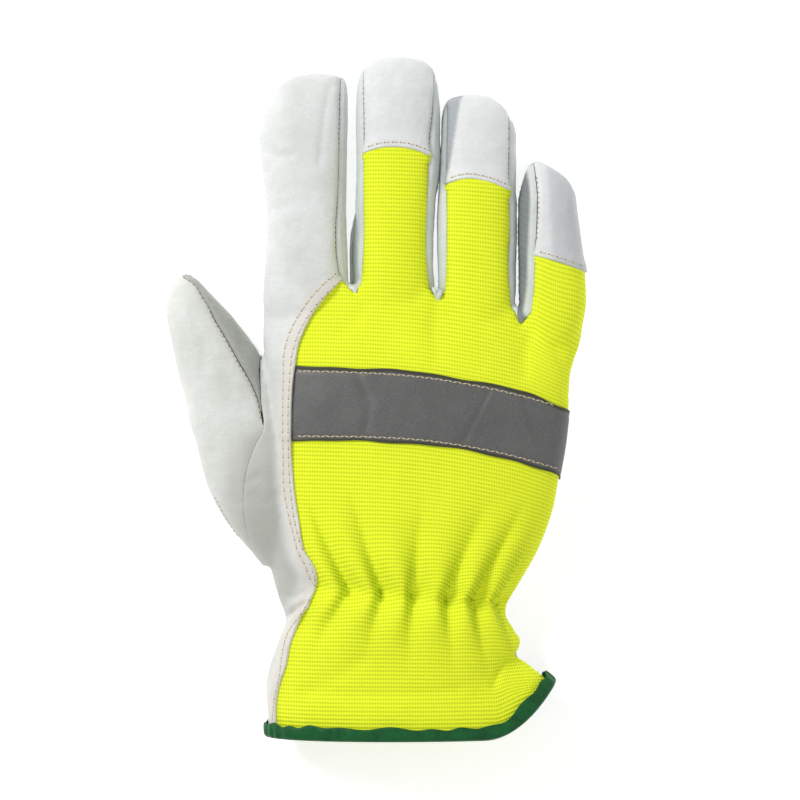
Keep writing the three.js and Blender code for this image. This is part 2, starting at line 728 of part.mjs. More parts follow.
// Hem: a channel folded round the cuff's edge
function hem() {
  const rim = handRing(handRows[0], 0, 0);
  const inner = handRing(handRows[1], 0, 0);
  const outside = seamGap + hemThickness;
  const height = hemHeight - outside;
  const channel = [
    at(outside, height),
    at(outside, -outside),
    at(-wall - outside, -outside),
    at(-wall - outside, height),
    at(-wall - seamGap, height),
    at(-wall - seamGap, -seamGap),
    at(seamGap, -seamGap),
    at(seamGap, height),
  ];
  const rings = rim.map((point, spot) => {
    const before = rim[(spot + rim.length - 1) % rim.length];
    const after = rim[(spot + 1) % rim.length];
    const up = inner[spot].clone().sub(point).normalize();
    const out = after.clone().sub(before).cross(up).normalize();
    return channel.map((corner) => point.clone().addScaledVector(out, corner.x).addScaledVector(up, corner.y));
  });
  const points = rings.flat();
  const count = channel.length;
  const index = [];
  for (let turn = 0; turn < rings.length; turn += 1) {
    const next = (turn + 1) % rings.length;
    for (let spot = 0; spot < count; spot += 1) {
      const beside = (spot + 1) % count;
      const corners = [turn * count + spot, turn * count + beside, next * count + beside, next * count + spot];
      index.push(corners[0], corners[1], corners[2], corners[0], corners[2], corners[3]);
    }
  }
  return toSolid(toGeometry(points, index));
}
pieces.push({ name: "hem_binding", solid: hem(), colour: 0x24592d, roughness: 0.5 });

const glove = new THREE.Group();
for (const piece of pieces) {
  const { vertProperties, triVerts } = piece.solid.getMesh();
  const geometry = new THREE.BufferGeometry();
  geometry.setAttribute("position", new THREE.Float32BufferAttribute(vertProperties, 3));
  geometry.setIndex(new THREE.BufferAttribute(triVerts, 1));
  geometry.computeVertexNormals();
  const material = new THREE.MeshStandardMaterial({
    color: piece.colour,
    roughness: piece.roughness,
    metalness: 0,
  });
  const mesh = new THREE.Mesh(geometry, material);
  mesh.name = piece.name;
  glove.add(mesh);
}

// Origin on the floor under the middle of the glove
const bounds = new THREE.Box3().setFromObject(glove);
const centre = bounds.getCenter(new THREE.Vector3());
glove.position.set(-centre.x, -centre.y, -bounds.min.z);

export default glove;
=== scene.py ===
import math
import bmesh
import bpy
import numpy as np
from mathutils import Matrix, Vector, noise
from mathutils.bvhtree import BVHTree
from mathutils.kdtree import KDTree


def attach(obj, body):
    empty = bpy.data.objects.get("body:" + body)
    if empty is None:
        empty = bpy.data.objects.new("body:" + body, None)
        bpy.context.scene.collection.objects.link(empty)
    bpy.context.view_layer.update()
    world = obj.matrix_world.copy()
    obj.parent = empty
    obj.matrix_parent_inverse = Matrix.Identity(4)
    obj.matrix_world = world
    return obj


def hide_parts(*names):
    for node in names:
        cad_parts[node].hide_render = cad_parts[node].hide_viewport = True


# Right-hand driver glove lying on its palm. Lengths are worked out in millimetres, +Y to the
# fingertips, -X to the thumb, and every mesh is made in metres at the end.
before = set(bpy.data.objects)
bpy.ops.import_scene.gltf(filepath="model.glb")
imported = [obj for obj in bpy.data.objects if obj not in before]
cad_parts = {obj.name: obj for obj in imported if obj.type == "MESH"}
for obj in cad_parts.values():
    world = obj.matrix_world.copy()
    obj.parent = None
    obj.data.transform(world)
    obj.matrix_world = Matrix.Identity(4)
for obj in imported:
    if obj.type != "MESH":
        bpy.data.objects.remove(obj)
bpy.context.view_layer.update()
millimetre = 0.001

# The hand's smooth inner form
hand = {
    "length": 160, "width": 118.6, "thickness": 30, "flatten": 1.5,
    "knuckleDrop": 12, "hemLift": 18, "elasticTilt": 3.5,
    "origin": (18.063, -126.017),      # middle of the knuckles' cuff line, in the glove's frame
    "voxel": 1.0, "smoothing": 7,
}
# along, left, right, top, squareness, tilt, lift, drop
handRows = np.array([
    (-0.100, -0.472, 0.392, 1.13, 2.1, 0, 1, 0),
    (0.022, -0.474, 0.386, 1.12, 2.1, 0, 1, 0),
    (0.069, -0.477, 0.324, 1.10, 2.1, 0, 0.95, 0),
    (0.125, -0.483, 0.286, 1.06, 2.1, 0, 0.67, 0),
    (0.175, -0.472, 0.297, 1.05, 2.1, 0, 0.5, 0),
    (0.225, -0.449, 0.280, 1.06, 2.1, 0.2, 0.28, 0),
    (0.272, -0.425, 0.263, 1.06, 2.1, 0.5, 0.1, 0),
    (0.306, -0.446, 0.250, 1.04, 2.2, 0.8, 0, 0),
    (0.335, -0.460, 0.252, 1.02, 2.2, 1, 0, 0),
    (0.366, -0.471, 0.277, 1.03, 2.2, 1, 0, 0),
    (0.406, -0.483, 0.315, 1.05, 2.2, 0.7, 0, 0),
    (0.463, -0.492, 0.358, 1.05, 2.3, 0.4, 0, 0),
    (0.538, -0.497, 0.395, 1.04, 2.3, 0.2, 0, 0),
    (0.613, -0.498, 0.415, 1.02, 2.4, 0, 0, 0),
    (0.688, -0.497, 0.432, 1.00, 2.4, 0, 0, 0),
    (0.756, -0.494, 0.442, 0.98, 2.5, 0, 0, 0.1),
    (0.819, -0.492, 0.448, 0.94, 2.6, 0, 0, 0.25),
    (0.875, -0.495, 0.451, 0.88, 2.8, 0, 0, 0.45),
    (0.925, -0.498, 0.463, 0.80, 2.9, 0, 0, 0.65),
    (0.969, -0.498, 0.478, 0.72, 3.0, 0, 0, 0.85),
    (1.045, -0.497, 0.494, 0.60, 3.2, 0, 0, 1),
])

# along, left, right as shares of a finger's length and width
fingerShapes = {
    "index": np.array([
        (-0.33, -0.3, 0.4), (-0.12, -0.45, 0.48), (0.02, -0.5, 0.5), (0.15, -0.48, 0.495),
        (0.28, -0.46, 0.49), (0.46, -0.48, 0.485), (0.59, -0.518, 0.49), (0.68, -0.547, 0.49),
        (0.742, -0.57, 0.495), (0.807, -0.523, 0.5), (0.86, -0.459, 0.505), (0.913, -0.377, 0.5),
        (0.957, -0.272, 0.475), (0.988, -0.12, 0.41), (1.0, 0.03, 0.26)]),
    "middle": np.array([
        (-0.31, -0.4, 0.4), (-0.11, -0.49, 0.48), (0.055, -0.506, 0.455), (0.22, -0.52, 0.442),
        (0.42, -0.488, 0.47), (0.58, -0.476, 0.51), (0.7, -0.476, 0.515), (0.826, -0.476, 0.512),
        (0.874, -0.47, 0.50), (0.915, -0.441, 0.476), (0.948, -0.412, 0.447),
        (0.976, -0.359, 0.359), (0.992, -0.288, 0.253), (1.0, -0.147, 0.1)]),
    "ring": np.array([
        (-0.28, -0.4, 0.4), (-0.05, -0.49, 0.485), (0.08, -0.52, 0.495), (0.3, -0.552, 0.5),
        (0.53, -0.54, 0.508), (0.62, -0.508, 0.512), (0.75, -0.496, 0.512), (0.84, -0.493, 0.5),
        (0.893, -0.487, 0.44), (0.933, -0.467, 0.367), (0.969, -0.413, 0.26),
        (0.989, -0.34, 0.167), (1.0, -0.207, 0.047)]),
    "little": np.array([
        (-0.22, -0.4, 0.05), (-0.05, -0.48, 0.33), (0.15, -0.5, 0.485), (0.32, -0.5, 0.485),
        (0.55, -0.5, 0.426), (0.72, -0.5, 0.367), (0.808, -0.5, 0.337), (0.858, -0.47, 0.285),
        (0.905, -0.433, 0.196), (0.944, -0.396, 0.07), (0.972, -0.352, -0.056),
        (1.0, -0.278, -0.167)]),
}
# along, height as a share of the finger's thickness
fingerHeights = np.array([
    (-0.35, 0.6), (-0.12, 0.88), (0.02, 1), (0.25, 1.02), (0.6, 1), (0.8, 0.94), (0.9, 0.84),
    (0.95, 0.73), (0.98, 0.6), (1.0, 0.42)])
# width, length, free space on the thumb's side
fingerSizes = {
    "index": (31.2, 85, 0), "middle": (31, 91.4, 2.2), "ring": (27.4, 82.6, 0.8), "little": (24.6, 64.7, 1.4),
}
fingerThickness = 20.5
# along, left, right, top about the thumb's own axis
thumbRows = np.array([
    (-0.25, -0.17, 0.3, 0.85), (-0.12, -0.31, 0.42, 1), (-0.02, -0.42, 0.48, 1.06),
    (0.08, -0.478, 0.52, 1.08), (0.17, -0.494, 0.55, 1.08), (0.25, -0.478, 0.57, 1.06),
    (0.34, -0.459, 0.58, 1.04), (0.42, -0.452, 0.585, 1.02), (0.5, -0.424, 0.585, 1),
    (0.59, -0.417, 0.56, 0.98), (0.67, -0.401, 0.49, 0.94), (0.76, -0.373, 0.404, 0.88),
    (0.84, -0.344, 0.306, 0.8), (0.9, -0.306, 0.223, 0.7), (0.94, -0.242, 0.169, 0.61),
    (0.97, -0.166, 0.121, 0.52), (1.0, -0.06, 0.04, 0.38)])
thumb = {
    "length": 88.8, "width": 31.4, "thickness": 24, "lean": math.radians(18.2), "rise": 86.5, "reach": 1.6,
}


# small tools
def curveAt(table, column, places):
    # smooth curve through one column of a table, flat beyond its ends
    keys, values = table[:, 0], table[:, column]
    slopes = np.gradient(values, keys)
    places = np.clip(places, keys[0], keys[-1])
    spot = np.clip(np.searchsorted(keys, places) - 1, 0, len(keys) - 2)
    span = keys[spot + 1] - keys[spot]
    t = (places - keys[spot]) / span
    low, high = values[spot], values[spot + 1]
    rise = (2 * t ** 3 - 3 * t ** 2 + 1) * low + (3 * t ** 2 - 2 * t ** 3) * high
    return rise + span * ((t ** 3 - 2 * t ** 2 + t) * slopes[spot] + (t ** 3 - t ** 2) * slopes[spot + 1])


def smoothLine(points, step=2.0):
    # evenly spaced points on a smooth curve through the given ones
    points = np.array(points, float)
    far = np.concatenate([[0], np.cumsum(np.linalg.norm(np.diff(points, axis=0), axis=1))])
    table = np.column_stack([far, points])
    places = np.linspace(0, far[-1], max(2, int(far[-1] / step) + 1))
    return np.column_stack([curveAt(table, 1 + axis, places) for axis in range(points.shape[1])])


farOff = 14.0     # distances beyond this aren't worked out


def distanceTo(line, points):
    # distance in the plane from each point to a line of points
    best = np.full(len(points), farOff)
    low, high = line.min(axis=0) - farOff, line.max(axis=0) + farOff
    near = np.flatnonzero(np.all((points > low) & (points < high), axis=1))
    x, y = points[near].T
    close = np.full(len(near), farOff ** 2)
    for (x0, y0), (x1, y1) in zip(line[:-1], line[1:]):
        dx, dy = x1 - x0, y1 - y0
        share = np.clip(((x - x0) * dx + (y - y0) * dy) / max(1e-9, dx * dx + dy * dy), 0, 1)
        close = np.minimum(close, (x - x0 - share * dx) ** 2 + (y - y0 - share * dy) ** 2)
    best[near] = np.sqrt(close)
    return best


def insideOf(outline, points):
    # signed distance to a closed outline, positive inside
    closed = np.vstack([outline, outline[:1]])
    inside = np.zeros(len(points), bool)
    for (x0, y0), (x1, y1) in zip(closed[:-1], closed[1:]):
        spans = (y0 > points[:, 1]) != (y1 > points[:, 1])
        cross = x0 + (points[:, 1] - y0) * (x1 - x0) / (y1 - y0 if y1 != y0 else 1e-9)
        inside ^= spans & (points[:, 0] < cross)
    return np.where(inside, 1, -1) * distanceTo(closed, points)


def ease(value):
    value = np.clip(value, 0, 1)
    return value * value * (3 - 2 * value)


def bell(value):
    return np.exp(-value * value)


def coordsOf(mesh):
    return np.array([vert.co[:] for vert in mesh.verts], float).reshape(-1, 3)


def addLayer(mesh, name, values):
    layer = mesh.verts.layers.float.new(name)
    for vert, value in zip(mesh.verts, values):
        vert[layer] = value


def normalsOf(mesh):
    mesh.normal_update()
    return np.array([vert.normal[:] for vert in mesh.verts], float).reshape(-1, 3)


def placeAt(mesh, points):
    for vert, point in zip(mesh.verts, points):
        vert.co = point


def wrinkled(points, size, seed, octaves=3):
    start = Vector((seed, 0, 0))
    return np.array([noise.fractal(Vector(point) / size + start, 0.9, 2.0, octaves) for point in points])


def gridOf(across, along):
    mesh = bmesh.new()
    bmesh.ops.create_grid(mesh, x_segments=across, y_segments=along, size=1)
    flat = coordsOf(mesh)
    return mesh, (flat[:, 0] + 1) / 2, (flat[:, 1] + 1) / 2


def trim(mesh, values):
    # keeps the side where a vertex's value is above zero, with the new edge exactly on zero
    level = mesh.verts.layers.float.get("level") or mesh.verts.layers.float.new("level")
    for vert, value in zip(mesh.verts, values):
        vert[level] = value
    away = [face for face in mesh.faces if all(vert[level] <= 0 for vert in face.verts)]
    bmesh.ops.delete(mesh, geom=away, context="FACES")
    for edge in list(mesh.edges):
        a, b = edge.verts
        if a[level] * b[level] < 0:
            share = a[level] / (a[level] - b[level])
            near = a if share < 0.25 else b if share > 0.75 else None
            if near:
                near.co = a.co.lerp(b.co, share)
                near[level] = 0
    for edge in [edge for edge in mesh.edges if edge.verts[0][level] * edge.verts[1][level] < 0]:
        a, b = edge.verts
        _, made = bmesh.utils.edge_split(edge, a, a[level] / (a[level] - b[level]))
        made[level] = 0
    bmesh.ops.connect_verts(mesh, verts=[vert for vert in mesh.verts if vert[level] == 0])
    away = [face for face in mesh.faces if sum(vert[level] for vert in face.verts) <= 0]
    bmesh.ops.delete(mesh, geom=away, context="FACES")
    keepLargest(mesh)


def keepLargest(mesh):
    groups, seen = [], set()
    for start in mesh.verts:
        if start in seen:
            continue
        group, queue = [], [start]
        seen.add(start)
        while queue:
            vert = queue.pop()
            group.append(vert)
            for edge in vert.link_edges:
                other = edge.other_vert(vert)
                if other not in seen:
                    seen.add(other)
                    queue.append(other)
        groups.append(group)
    groups.sort(key=len)
    loose = [vert for group in groups[:-1] for vert in group]
    bmesh.ops.delete(mesh, geom=loose, context="VERTS")


def edgeDistance(mesh):
    # distance from each vertex to the piece's open edge
    rim = [vert for vert in mesh.verts if vert.is_boundary]
    tree = KDTree(len(rim))
    for spot, vert in enumerate(rim):
        tree.insert(vert.co, spot)
    tree.balance()
    return np.array([tree.find(vert.co)[2] for vert in mesh.verts])


def toObject(mesh, name, material, thickness=0.0, levels=0):
    data = bpy.data.meshes.new(name)
    mesh.to_mesh(data)
    data.transform(Matrix.Scale(millimetre, 4))
    for polygon in data.polygons:
        polygon.use_smooth = True
    made = bpy.data.objects.new(name, data)
    bpy.context.scene.collection.objects.link(made)
    data.materials.append(material)
    if levels:
        rounder = made.modifiers.new("round", "SUBSURF")
        rounder.levels = rounder.render_levels = levels
    if thickness:
        wall = made.modifiers.new("wall", "SOLIDIFY")
        wall.thickness = thickness * millimetre
        wall.offset = -1
        wall.use_even_offset = False
    return made


# the last
splits = [   # y and x of the line between two fingers, half width of the step there
    (np.array([(0, -8.9), (130, -8.9)]), 1.2),
    (np.array([(30, 22.9), (46, 22.1), (60, 22.0), (71, 22.3), (77, 23.4), (84, 23.8), (130, 24.0)]), 0.25),
    (np.array([(0, 52.1), (130, 52.1)]), 0.35),
]
touching = [   # split, y of both ends, and how far each of its sides leans over there
    (1, 74, 108, 0.4, 0.3), (2, 34, 76, 0.45, 0.45),
]


def splitAt(number, y):
    return np.interp(y, splits[number][0][:, 0], splits[number][0][:, 1])


def spreadAt(x, y):
    # the fingers stand further apart while the form is made
    total = -3.5
    for number, (_, wide) in enumerate(splits):
        total = total + 2.5 * np.clip((x - splitAt(number, y)) / (2 * wide) + 0.5, 0, 1)
    root = np.interp(x, [-30, 8, 38, 65], [35, 34, 30, 23])
    return total * ease((y - root + 6) / 16)


def leanFingers(points):
    # fingers lean on each other, and the middle one's palm side spreads toward the index finger
    x, y, z = points.T.copy()
    for number, low, high, left, right in touching:
        beyond = x - splitAt(number, y)
        window = ease((y - low) / 6) * ease((high - y) / 6)
        x += window * np.where(beyond < 0, left * ease(1 + beyond / 4), -right * ease(1 - beyond / 4))
    window = ease((y - 38) / 5) * ease((72 - y) / 14) * (x > splitAt(0, y)) * ease((3 - x) / 9)
    x += window * (-1.5 + 3.4 * ease((z - 6.5) / 4))
    points[:, 0] = x


def unspread(x, y):
    low, high = x - 6.0, x + 6.0
    for _ in range(40):
        middle = (low + high) / 2
        over = middle + spreadAt(middle, y) > x
        high = np.where(over, middle, high)
        low = np.where(over, low, middle)
    return (low + high) / 2


def around(turn, power=0.82):
    across = np.sign(np.cos(turn)) * np.abs(np.cos(turn)) ** power
    up = np.sign(np.sin(turn)) * np.abs(np.sin(turn)) ** power
    return across, up


def closeTube(mesh):
    bmesh.ops.remove_doubles(mesh, verts=mesh.verts, dist=0.01)
    bmesh.ops.holes_fill(mesh, edges=[edge for edge in mesh.edges if edge.is_boundary], sides=0)
    bmesh.ops.recalc_face_normals(mesh, faces=mesh.faces)
    return mesh


def cuffLift(across):
    return np.clip((across - 0.5) / 0.5, 0, 1) ** 2


def handPoint(along, turn):
    # a point on the hand's section: turn runs round from the little finger's side over the back
    read = lambda column: curveAt(handRows, column, along)
    left, right = read(1) * hand["width"], read(2) * hand["width"]
    top, square = read(3) * hand["thickness"], read(4)
    across = np.sign(np.cos(turn)) * np.abs(np.cos(turn)) ** (2 / square)
    up = np.sign(np.sin(turn)) * np.abs(np.sin(turn)) ** (2 / square)
    waist = 0.45 * top
    z = waist + np.where(up > 0, (top - waist) * up, (waist + hand["flatten"]) * up)
    shoulder = np.clip((across + 0.1) / 0.75, 0, 1) ** 1.5
    y = (along * hand["length"] - read(5) * hand["elasticTilt"] * across
         + read(6) * hand["hemLift"] * cuffLift(across) - read(7) * hand["knuckleDrop"] * shoulder)
    x = (left + right) / 2 + across * (right - left) / 2
    return np.column_stack([x + hand["origin"][0], y + hand["origin"][1], z])


def handTube():
    mesh, u, v = gridOf(240, 190)
    points = handPoint(-0.1 + 1.145 * v, 2 * np.pi * u)
    placeAt(mesh, points)
    return closeTube(mesh)


def digitTube(rows, width, length, heights, lean, start):
    mesh, u, v = gridOf(96, 110)
    along = rows[0, 0] + (1 - rows[0, 0]) * np.sin(v * np.pi / 2)
    across, up = around(2 * np.pi * u)
    left, right = curveAt(rows, 1, along) * width, curveAt(rows, 2, along) * width
    top = heights(along)
    waist = 0.45 * top
    x = (left + right) / 2 + across * (right - left) / 2
    y = along * length
    z = waist + np.where(up > 0, (top - waist) * up, (waist + hand["flatten"]) * up)
    points = np.column_stack([
        start[0] + x * math.cos(lean) - y * math.sin(lean),
        start[1] + x * math.sin(lean) + y * math.cos(lean), z])
    placeAt(mesh, points)
    return closeTube(mesh)


def buildLast():
    parts = [handTube()]
    side = hand["origin"][0] - hand["width"] / 2
    for name, (width, length, gap) in fingerSizes.items():
        middle = side + gap + width / 2
        side += gap + width
        shoulder = np.clip((2 * (middle - hand["origin"][0]) / hand["width"] + 0.1) / 0.75, 0, 1) ** 1.5
        start = (middle, hand["origin"][1] + hand["length"] - hand["knuckleDrop"] * shoulder)
        heights = lambda along: curveAt(fingerHeights, 1, along) * fingerThickness
        parts.append(digitTube(fingerShapes[name], width, length, heights, 0, start))
    start = (hand["origin"][0] - hand["width"] / 2 - thumb["reach"], hand["origin"][1] + thumb["rise"])
    heights = lambda along: curveAt(thumbRows, 3, along) * thumb["thickness"]
    parts.append(digitTube(thumbRows, thumb["width"], thumb["length"], heights, thumb["lean"], start))
    whole = bpy.data.meshes.new("last")
    joined = bmesh.new()
    for part in parts:
        part.to_mesh(whole)
        joined.from_mesh(whole)
    points = coordsOf(joined)
    points[:, 0] += spreadAt(points[:, 0], points[:, 1])
    placeAt(joined, points)
    joined.to_mesh(whole)
    holder = bpy.data.objects.new("last", whole)
    bpy.context.scene.collection.objects.link(holder)
    skin = holder.modifiers.new("skin", "REMESH")
    skin.mode = "VOXEL"
    skin.voxel_size = hand["voxel"]
    soft = holder.modifiers.new("soft", "SMOOTH")
    soft.factor = 0.5
    soft.iterations = hand["smoothing"]
    skinned = bpy.data.meshes.new_from_object(holder.evaluated_get(bpy.context.evaluated_depsgraph_get()))
    bpy.data.objects.remove(holder)
    last = bmesh.new()
    last.from_mesh(skinned)
    points = coordsOf(last)
    points[:, 0] = unspread(points[:, 0], points[:, 1])
    leanFingers(points)
    floor = 1.2 * ease((-108 - points[:, 1]) / 8)
    points[:, 2] = np.maximum(points[:, 2], floor)
    placeAt(last, points)
    last.normal_update()
    return last


last = buildLast()
lastTree = BVHTree.FromBMesh(last)
print("last:", len(last.verts), "points")


def dropOn(tree, x, y, top=80.0):
    hit = tree.ray_cast(Vector((x, y, top)), Vector((0, 0, -1)))
    return hit[0].z if hit[0] else None


# seam lines on the back
lapEdge = smoothLine([
    (-35.1, -135), (-35.1, -122), (-35.1, -110), (-34.0, -104), (-31.6, -97), (-30.2, -89.5),
    (-28.2, -84.4), (-25.6, -78.2), (-23.0, -73.5), (-21.0, -68.7), (-20.7, -65.8), (-21.8, -61.4),
    (-24.9, -55.9), (-27.1, -44.3), (-28.9, -32.6), (-29.7, -21.6), (-29.7, -9.2), (-29.3, 1.0),
    (-28.6, 10.1), (-27.5, 18.2), (-24.9, 25.1), (-18.7, 35.7), (-12.0, 42.6)])
seamLines = {
    "indexRight": [(-12.0, 42.6), (-13.4, 50), (-12.9, 79), (-12.5, 108), (-12.3, 122), (-12.3, 132)],
    "middleLeft": [(-5.9, 40.8), (-4.9, 53.6), (-4.7, 89), (-4.5, 97.4), (-4.8, 107), (-4.9, 122),
                   (-4.9, 132)],
    "middleRight": [(20.6, 39), (19.2, 50.6), (19.2, 69.6), (20.0, 87.5), (20.3, 94.8), (21.1, 101.7),
                    (22.0, 112), (22.3, 132)],
    "ringLeft": [(24.9, 39), (25.5, 50.6), (25.5, 77.7), (25.8, 110), (25.8, 125)],
    "ringRight": [(50.0, 33), (49.0, 46.3), (49.5, 60.1), (49.2, 75.1), (49.5, 108), (49.5, 125)],
    "littleLeft": [(56.4, 31), (57.4, 39.3), (57.9, 51.7), (58.5, 62.3), (58.8, 74), (57.9, 84), (57.9, 105)],
}
seamLines = {name: smoothLine(points) for name, points in seamLines.items()}
crotches = {"indexMiddle": (-6.9, 36.9), "middleRing": (22.9, 35.1), "ringLittle": (53.2, 26.0)}
capEdges = {
    "middle": smoothLine([(-4.8, 88.6), (0, 90.2), (7.2, 90.9), (14, 90.0), (20.2, 87.7)]),
    "ring": smoothLine([(25.4, 77.5), (32.8, 79.4), (41, 78.2), (49.4, 75.0)]),
    "little": smoothLine([(57.7, 51.6), (67.4, 48.8), (78, 45.2), (95, 41)]),
}
thumbSeam = smoothLine([
    (-40.4, -11.8), (-41.6, -3), (-44.6, 5.0), (-48.6, 11.8), (-52.5, 18.9), (-55.9, 24.7), (-58.1, 28.4),
    (-60.3, 33.1), (-62.5, 36.4), (-64.7, 40.1), (-66.9, 42.2), (-69.8, 43.9), (-73.5, 47.5)])
thumbRoot = smoothLine([
    (-45.7, -64), (-45.2, -55.9), (-46.1, -50.8), (-47.7, -39.5), (-47.0, -30.0), (-44.8, -21.3),
    (-43.0, -17.2), (-40.4, -11.8), (-41.0, -1.2), (-41.6, 14.1), (-41.8, 35), (-41.8, 70)])
# y and height of the seam along the sides
sideSeam = np.array([
    (-158, 14.1), (-78, 13.5), (-27, 12.6), (3.6, 11.4), (24.4, 9), (38.8, 7.8), (194, 7.2)])


def outlineOf(*lines):
    return np.vstack([np.atleast_2d(np.array(line, float)) for line in lines])


def stretchOf(line, low, high):
    # the stretch of a line between two heights
    return line[(line[:, 1] >= low) & (line[:, 1] <= high)]


farRight = 95      # beyond the little finger's side
backOutline = outlineOf(
    lapEdge, crotches["indexMiddle"], stretchOf(seamLines["middleLeft"], 0, 88), capEdges["middle"],
    stretchOf(seamLines["middleRight"], 0, 87)[::-1], crotches["middleRing"],
    stretchOf(seamLines["ringLeft"], 0, 77), capEdges["ring"],
    stretchOf(seamLines["ringRight"], 0, 74.5)[::-1], crotches["ringLittle"],
    stretchOf(seamLines["littleLeft"], 0, 51), capEdges["little"], (farRight, -135))
fourchetteOutlines = {
    "fourchette_index_middle": outlineOf(
        seamLines["indexRight"][::-1], crotches["indexMiddle"], seamLines["middleLeft"]),
    "fourchette_middle_ring": outlineOf(
        seamLines["middleRight"][::-1], crotches["middleRing"], seamLines["ringLeft"]),
    "fourchette_ring_little": outlineOf(
        seamLines["ringRight"][::-1], crotches["ringLittle"], seamLines["littleLeft"]),
}
capOutlines = {
    "cap_middle": outlineOf(
        capEdges["middle"], stretchOf(seamLines["middleRight"], 88, 140),
        stretchOf(seamLines["middleLeft"], 89, 140)[::-1]),
    "cap_ring": outlineOf(
        capEdges["ring"], stretchOf(seamLines["ringRight"], 75.5, 140),
        stretchOf(seamLines["ringLeft"], 78, 140)[::-1]),
    "cap_little": outlineOf(
        capEdges["little"], (farRight, 105), stretchOf(seamLines["littleLeft"], 52, 140)[::-1]),
}
fork = int(np.argmin(np.linalg.norm(thumbRoot - thumbSeam[0], axis=1)))
farLeft = -110     # beyond the thumb
thumbOuterOutline = outlineOf(
    (farLeft, thumbRoot[0, 1]), thumbRoot[:fork + 1], thumbSeam[1:], (farLeft, thumbSeam[-1, 1]))
thumbInnerOutline = outlineOf(thumbRoot[fork:], thumbSeam[::-1][:-1])


def sideHeight(points):
    return points[:, 2] - np.interp(points[:, 1], sideSeam[:, 0], sideSeam[:, 1])


def cuffHeight(points, up=0.0):
    # distance above the cuff's edge
    row = handRows[1]
    left, right = row[1] * hand["width"] + hand["origin"][0], row[2] * hand["width"] + hand["origin"][0]
    across = np.clip((points[:, 0] - (left + right) / 2) / ((right - left) / 2), -1, 1)
    edge = row[0] * hand["length"] + hand["origin"][1] + hand["hemLift"] * cuffLift(across)
    return points[:, 1] - edge - up


# folds
gatherSlits = [   # x on the elastic, lean above it, lean below it, height of the ridge on its left
    (-25.0, -0.30, -0.50, 0.5), (-9.9, -0.46, -0.55, 0.9), (1.9, -0.30, -0.22, 1.0),
    (13.0, 0.12, -0.04, 1.05),
    (25.0, 0.42, 0.14, 1.15), (34.7, 0.52, 0.24, 1.2), (43.6, 0.56, 0.40, 1.1), (57.0, 0.55, 0.60, 0.7),
]
elastic = {"height": -70.6, "slope": -0.085, "depth": 1.5, "wide": 4.0, "above": 40.0, "below": 32.0,
           "rise": 2.3, "ribLift": 2.2}


def gatherAt(x, y):
    # height of the ridges between the slits, 0 to 1, and how strongly they show
    beyond = y - (elastic["height"] + elastic["slope"] * x)
    near = bell(beyond / 9)
    up, down = np.clip(beyond, 0, elastic["above"]), np.clip(-beyond, 0, elastic["below"])
    lines = [at + above * up + below * down for at, above, below, _ in gatherSlits]
    ridge = np.zeros_like(x)
    for left, right, (_, _, _, height) in zip(lines[:-1], lines[1:], gatherSlits[1:]):
        share = np.clip((x - left) / np.maximum(right - left, 1), 0, 1)
        peak = np.sin(np.pi * share ** (1.15 + 1.35 * near)) ** 0.8
        ridge += height * np.where((x > left) & (x <= right), peak, 0)
    fadeUp = (1 - up / elastic["above"]) ** 1.25
    fadeDown = 0.8 * (1 - down / elastic["below"]) ** 1.7
    shown = np.where(beyond > 0, fadeUp, fadeDown)
    return ridge, shown, beyond


def reliefAt(x, y):
    # height that the gathers add to the back
    ridge, shown, beyond = gatherAt(x, y)
    inside = ease((x + 27) / 6) * ease((60 - x) / 8)
    total = elastic["rise"] * (2 * ridge - 0.9) * shown * inside
    total -= elastic["depth"] * bell(beyond / elastic["wide"]) * ease((x + 26) / 8)
    for at, above, below, height in gatherSlits[1:-1]:     # short deep tucks right of each crest
        tuck = bell((x - at + 0.35 * beyond) / 0.8) * bell((beyond + 1.0) / 2.6)
        total -= 1.5 * height * tuck
    return total


hollows = [   # x, y, half width, half length, depth
    (48, -96, 9, 7, 1.4), (4, -100, 18, 15, 1.2), (55, -11, 10, 20, 1.0), (-12, -28, 12, 22, 1.0),
    (24, 26, 6, 14, 0.9), (54, 15, 6, 14, 0.9),
]


def hollowAt(x, y):
    total = np.zeros_like(x)
    for atX, atY, wide, long, deep in hollows:
        total -= deep * bell((x - atX) / wide) * bell((y - atY) / long)
    return total


def uprightOf(normals):
    return ease((normals[:, 2] - 0.05) / 0.6)


# shader words
class Signal:
    # a socket whose sums add Math nodes
    def __init__(self, paint, socket):
        self.paint, self.socket = paint, socket

    def math(self, kind, *others):
        return self.paint.node("ShaderNodeMath", {"operation": kind}, list(others)).out()

    def __add__(self, other):
        return self.math("ADD", self, other)

    __radd__ = __add__

    def __sub__(self, other):
        return self.math("SUBTRACT", self, other)

    def __rsub__(self, other):
        return self.math("SUBTRACT", other, self)

    def __mul__(self, other):
        return self.math("MULTIPLY", self, other)

    __rmul__ = __mul__

    def __truediv__(self, other):
        return self.math("DIVIDE", self, other)

    def sine(self):
        return self.math("SINE", self)

    def power(self, value):
        return self.math("POWER", self, value)

    def clipped(self):
        return self.paint.node("ShaderNodeClamp", {}, [self]).out()


class Placed:
    def __init__(self, paint, made):
        self.paint, self.made = paint, made

    def out(self, name=0):
        return Signal(self.paint, self.made.outputs[name])


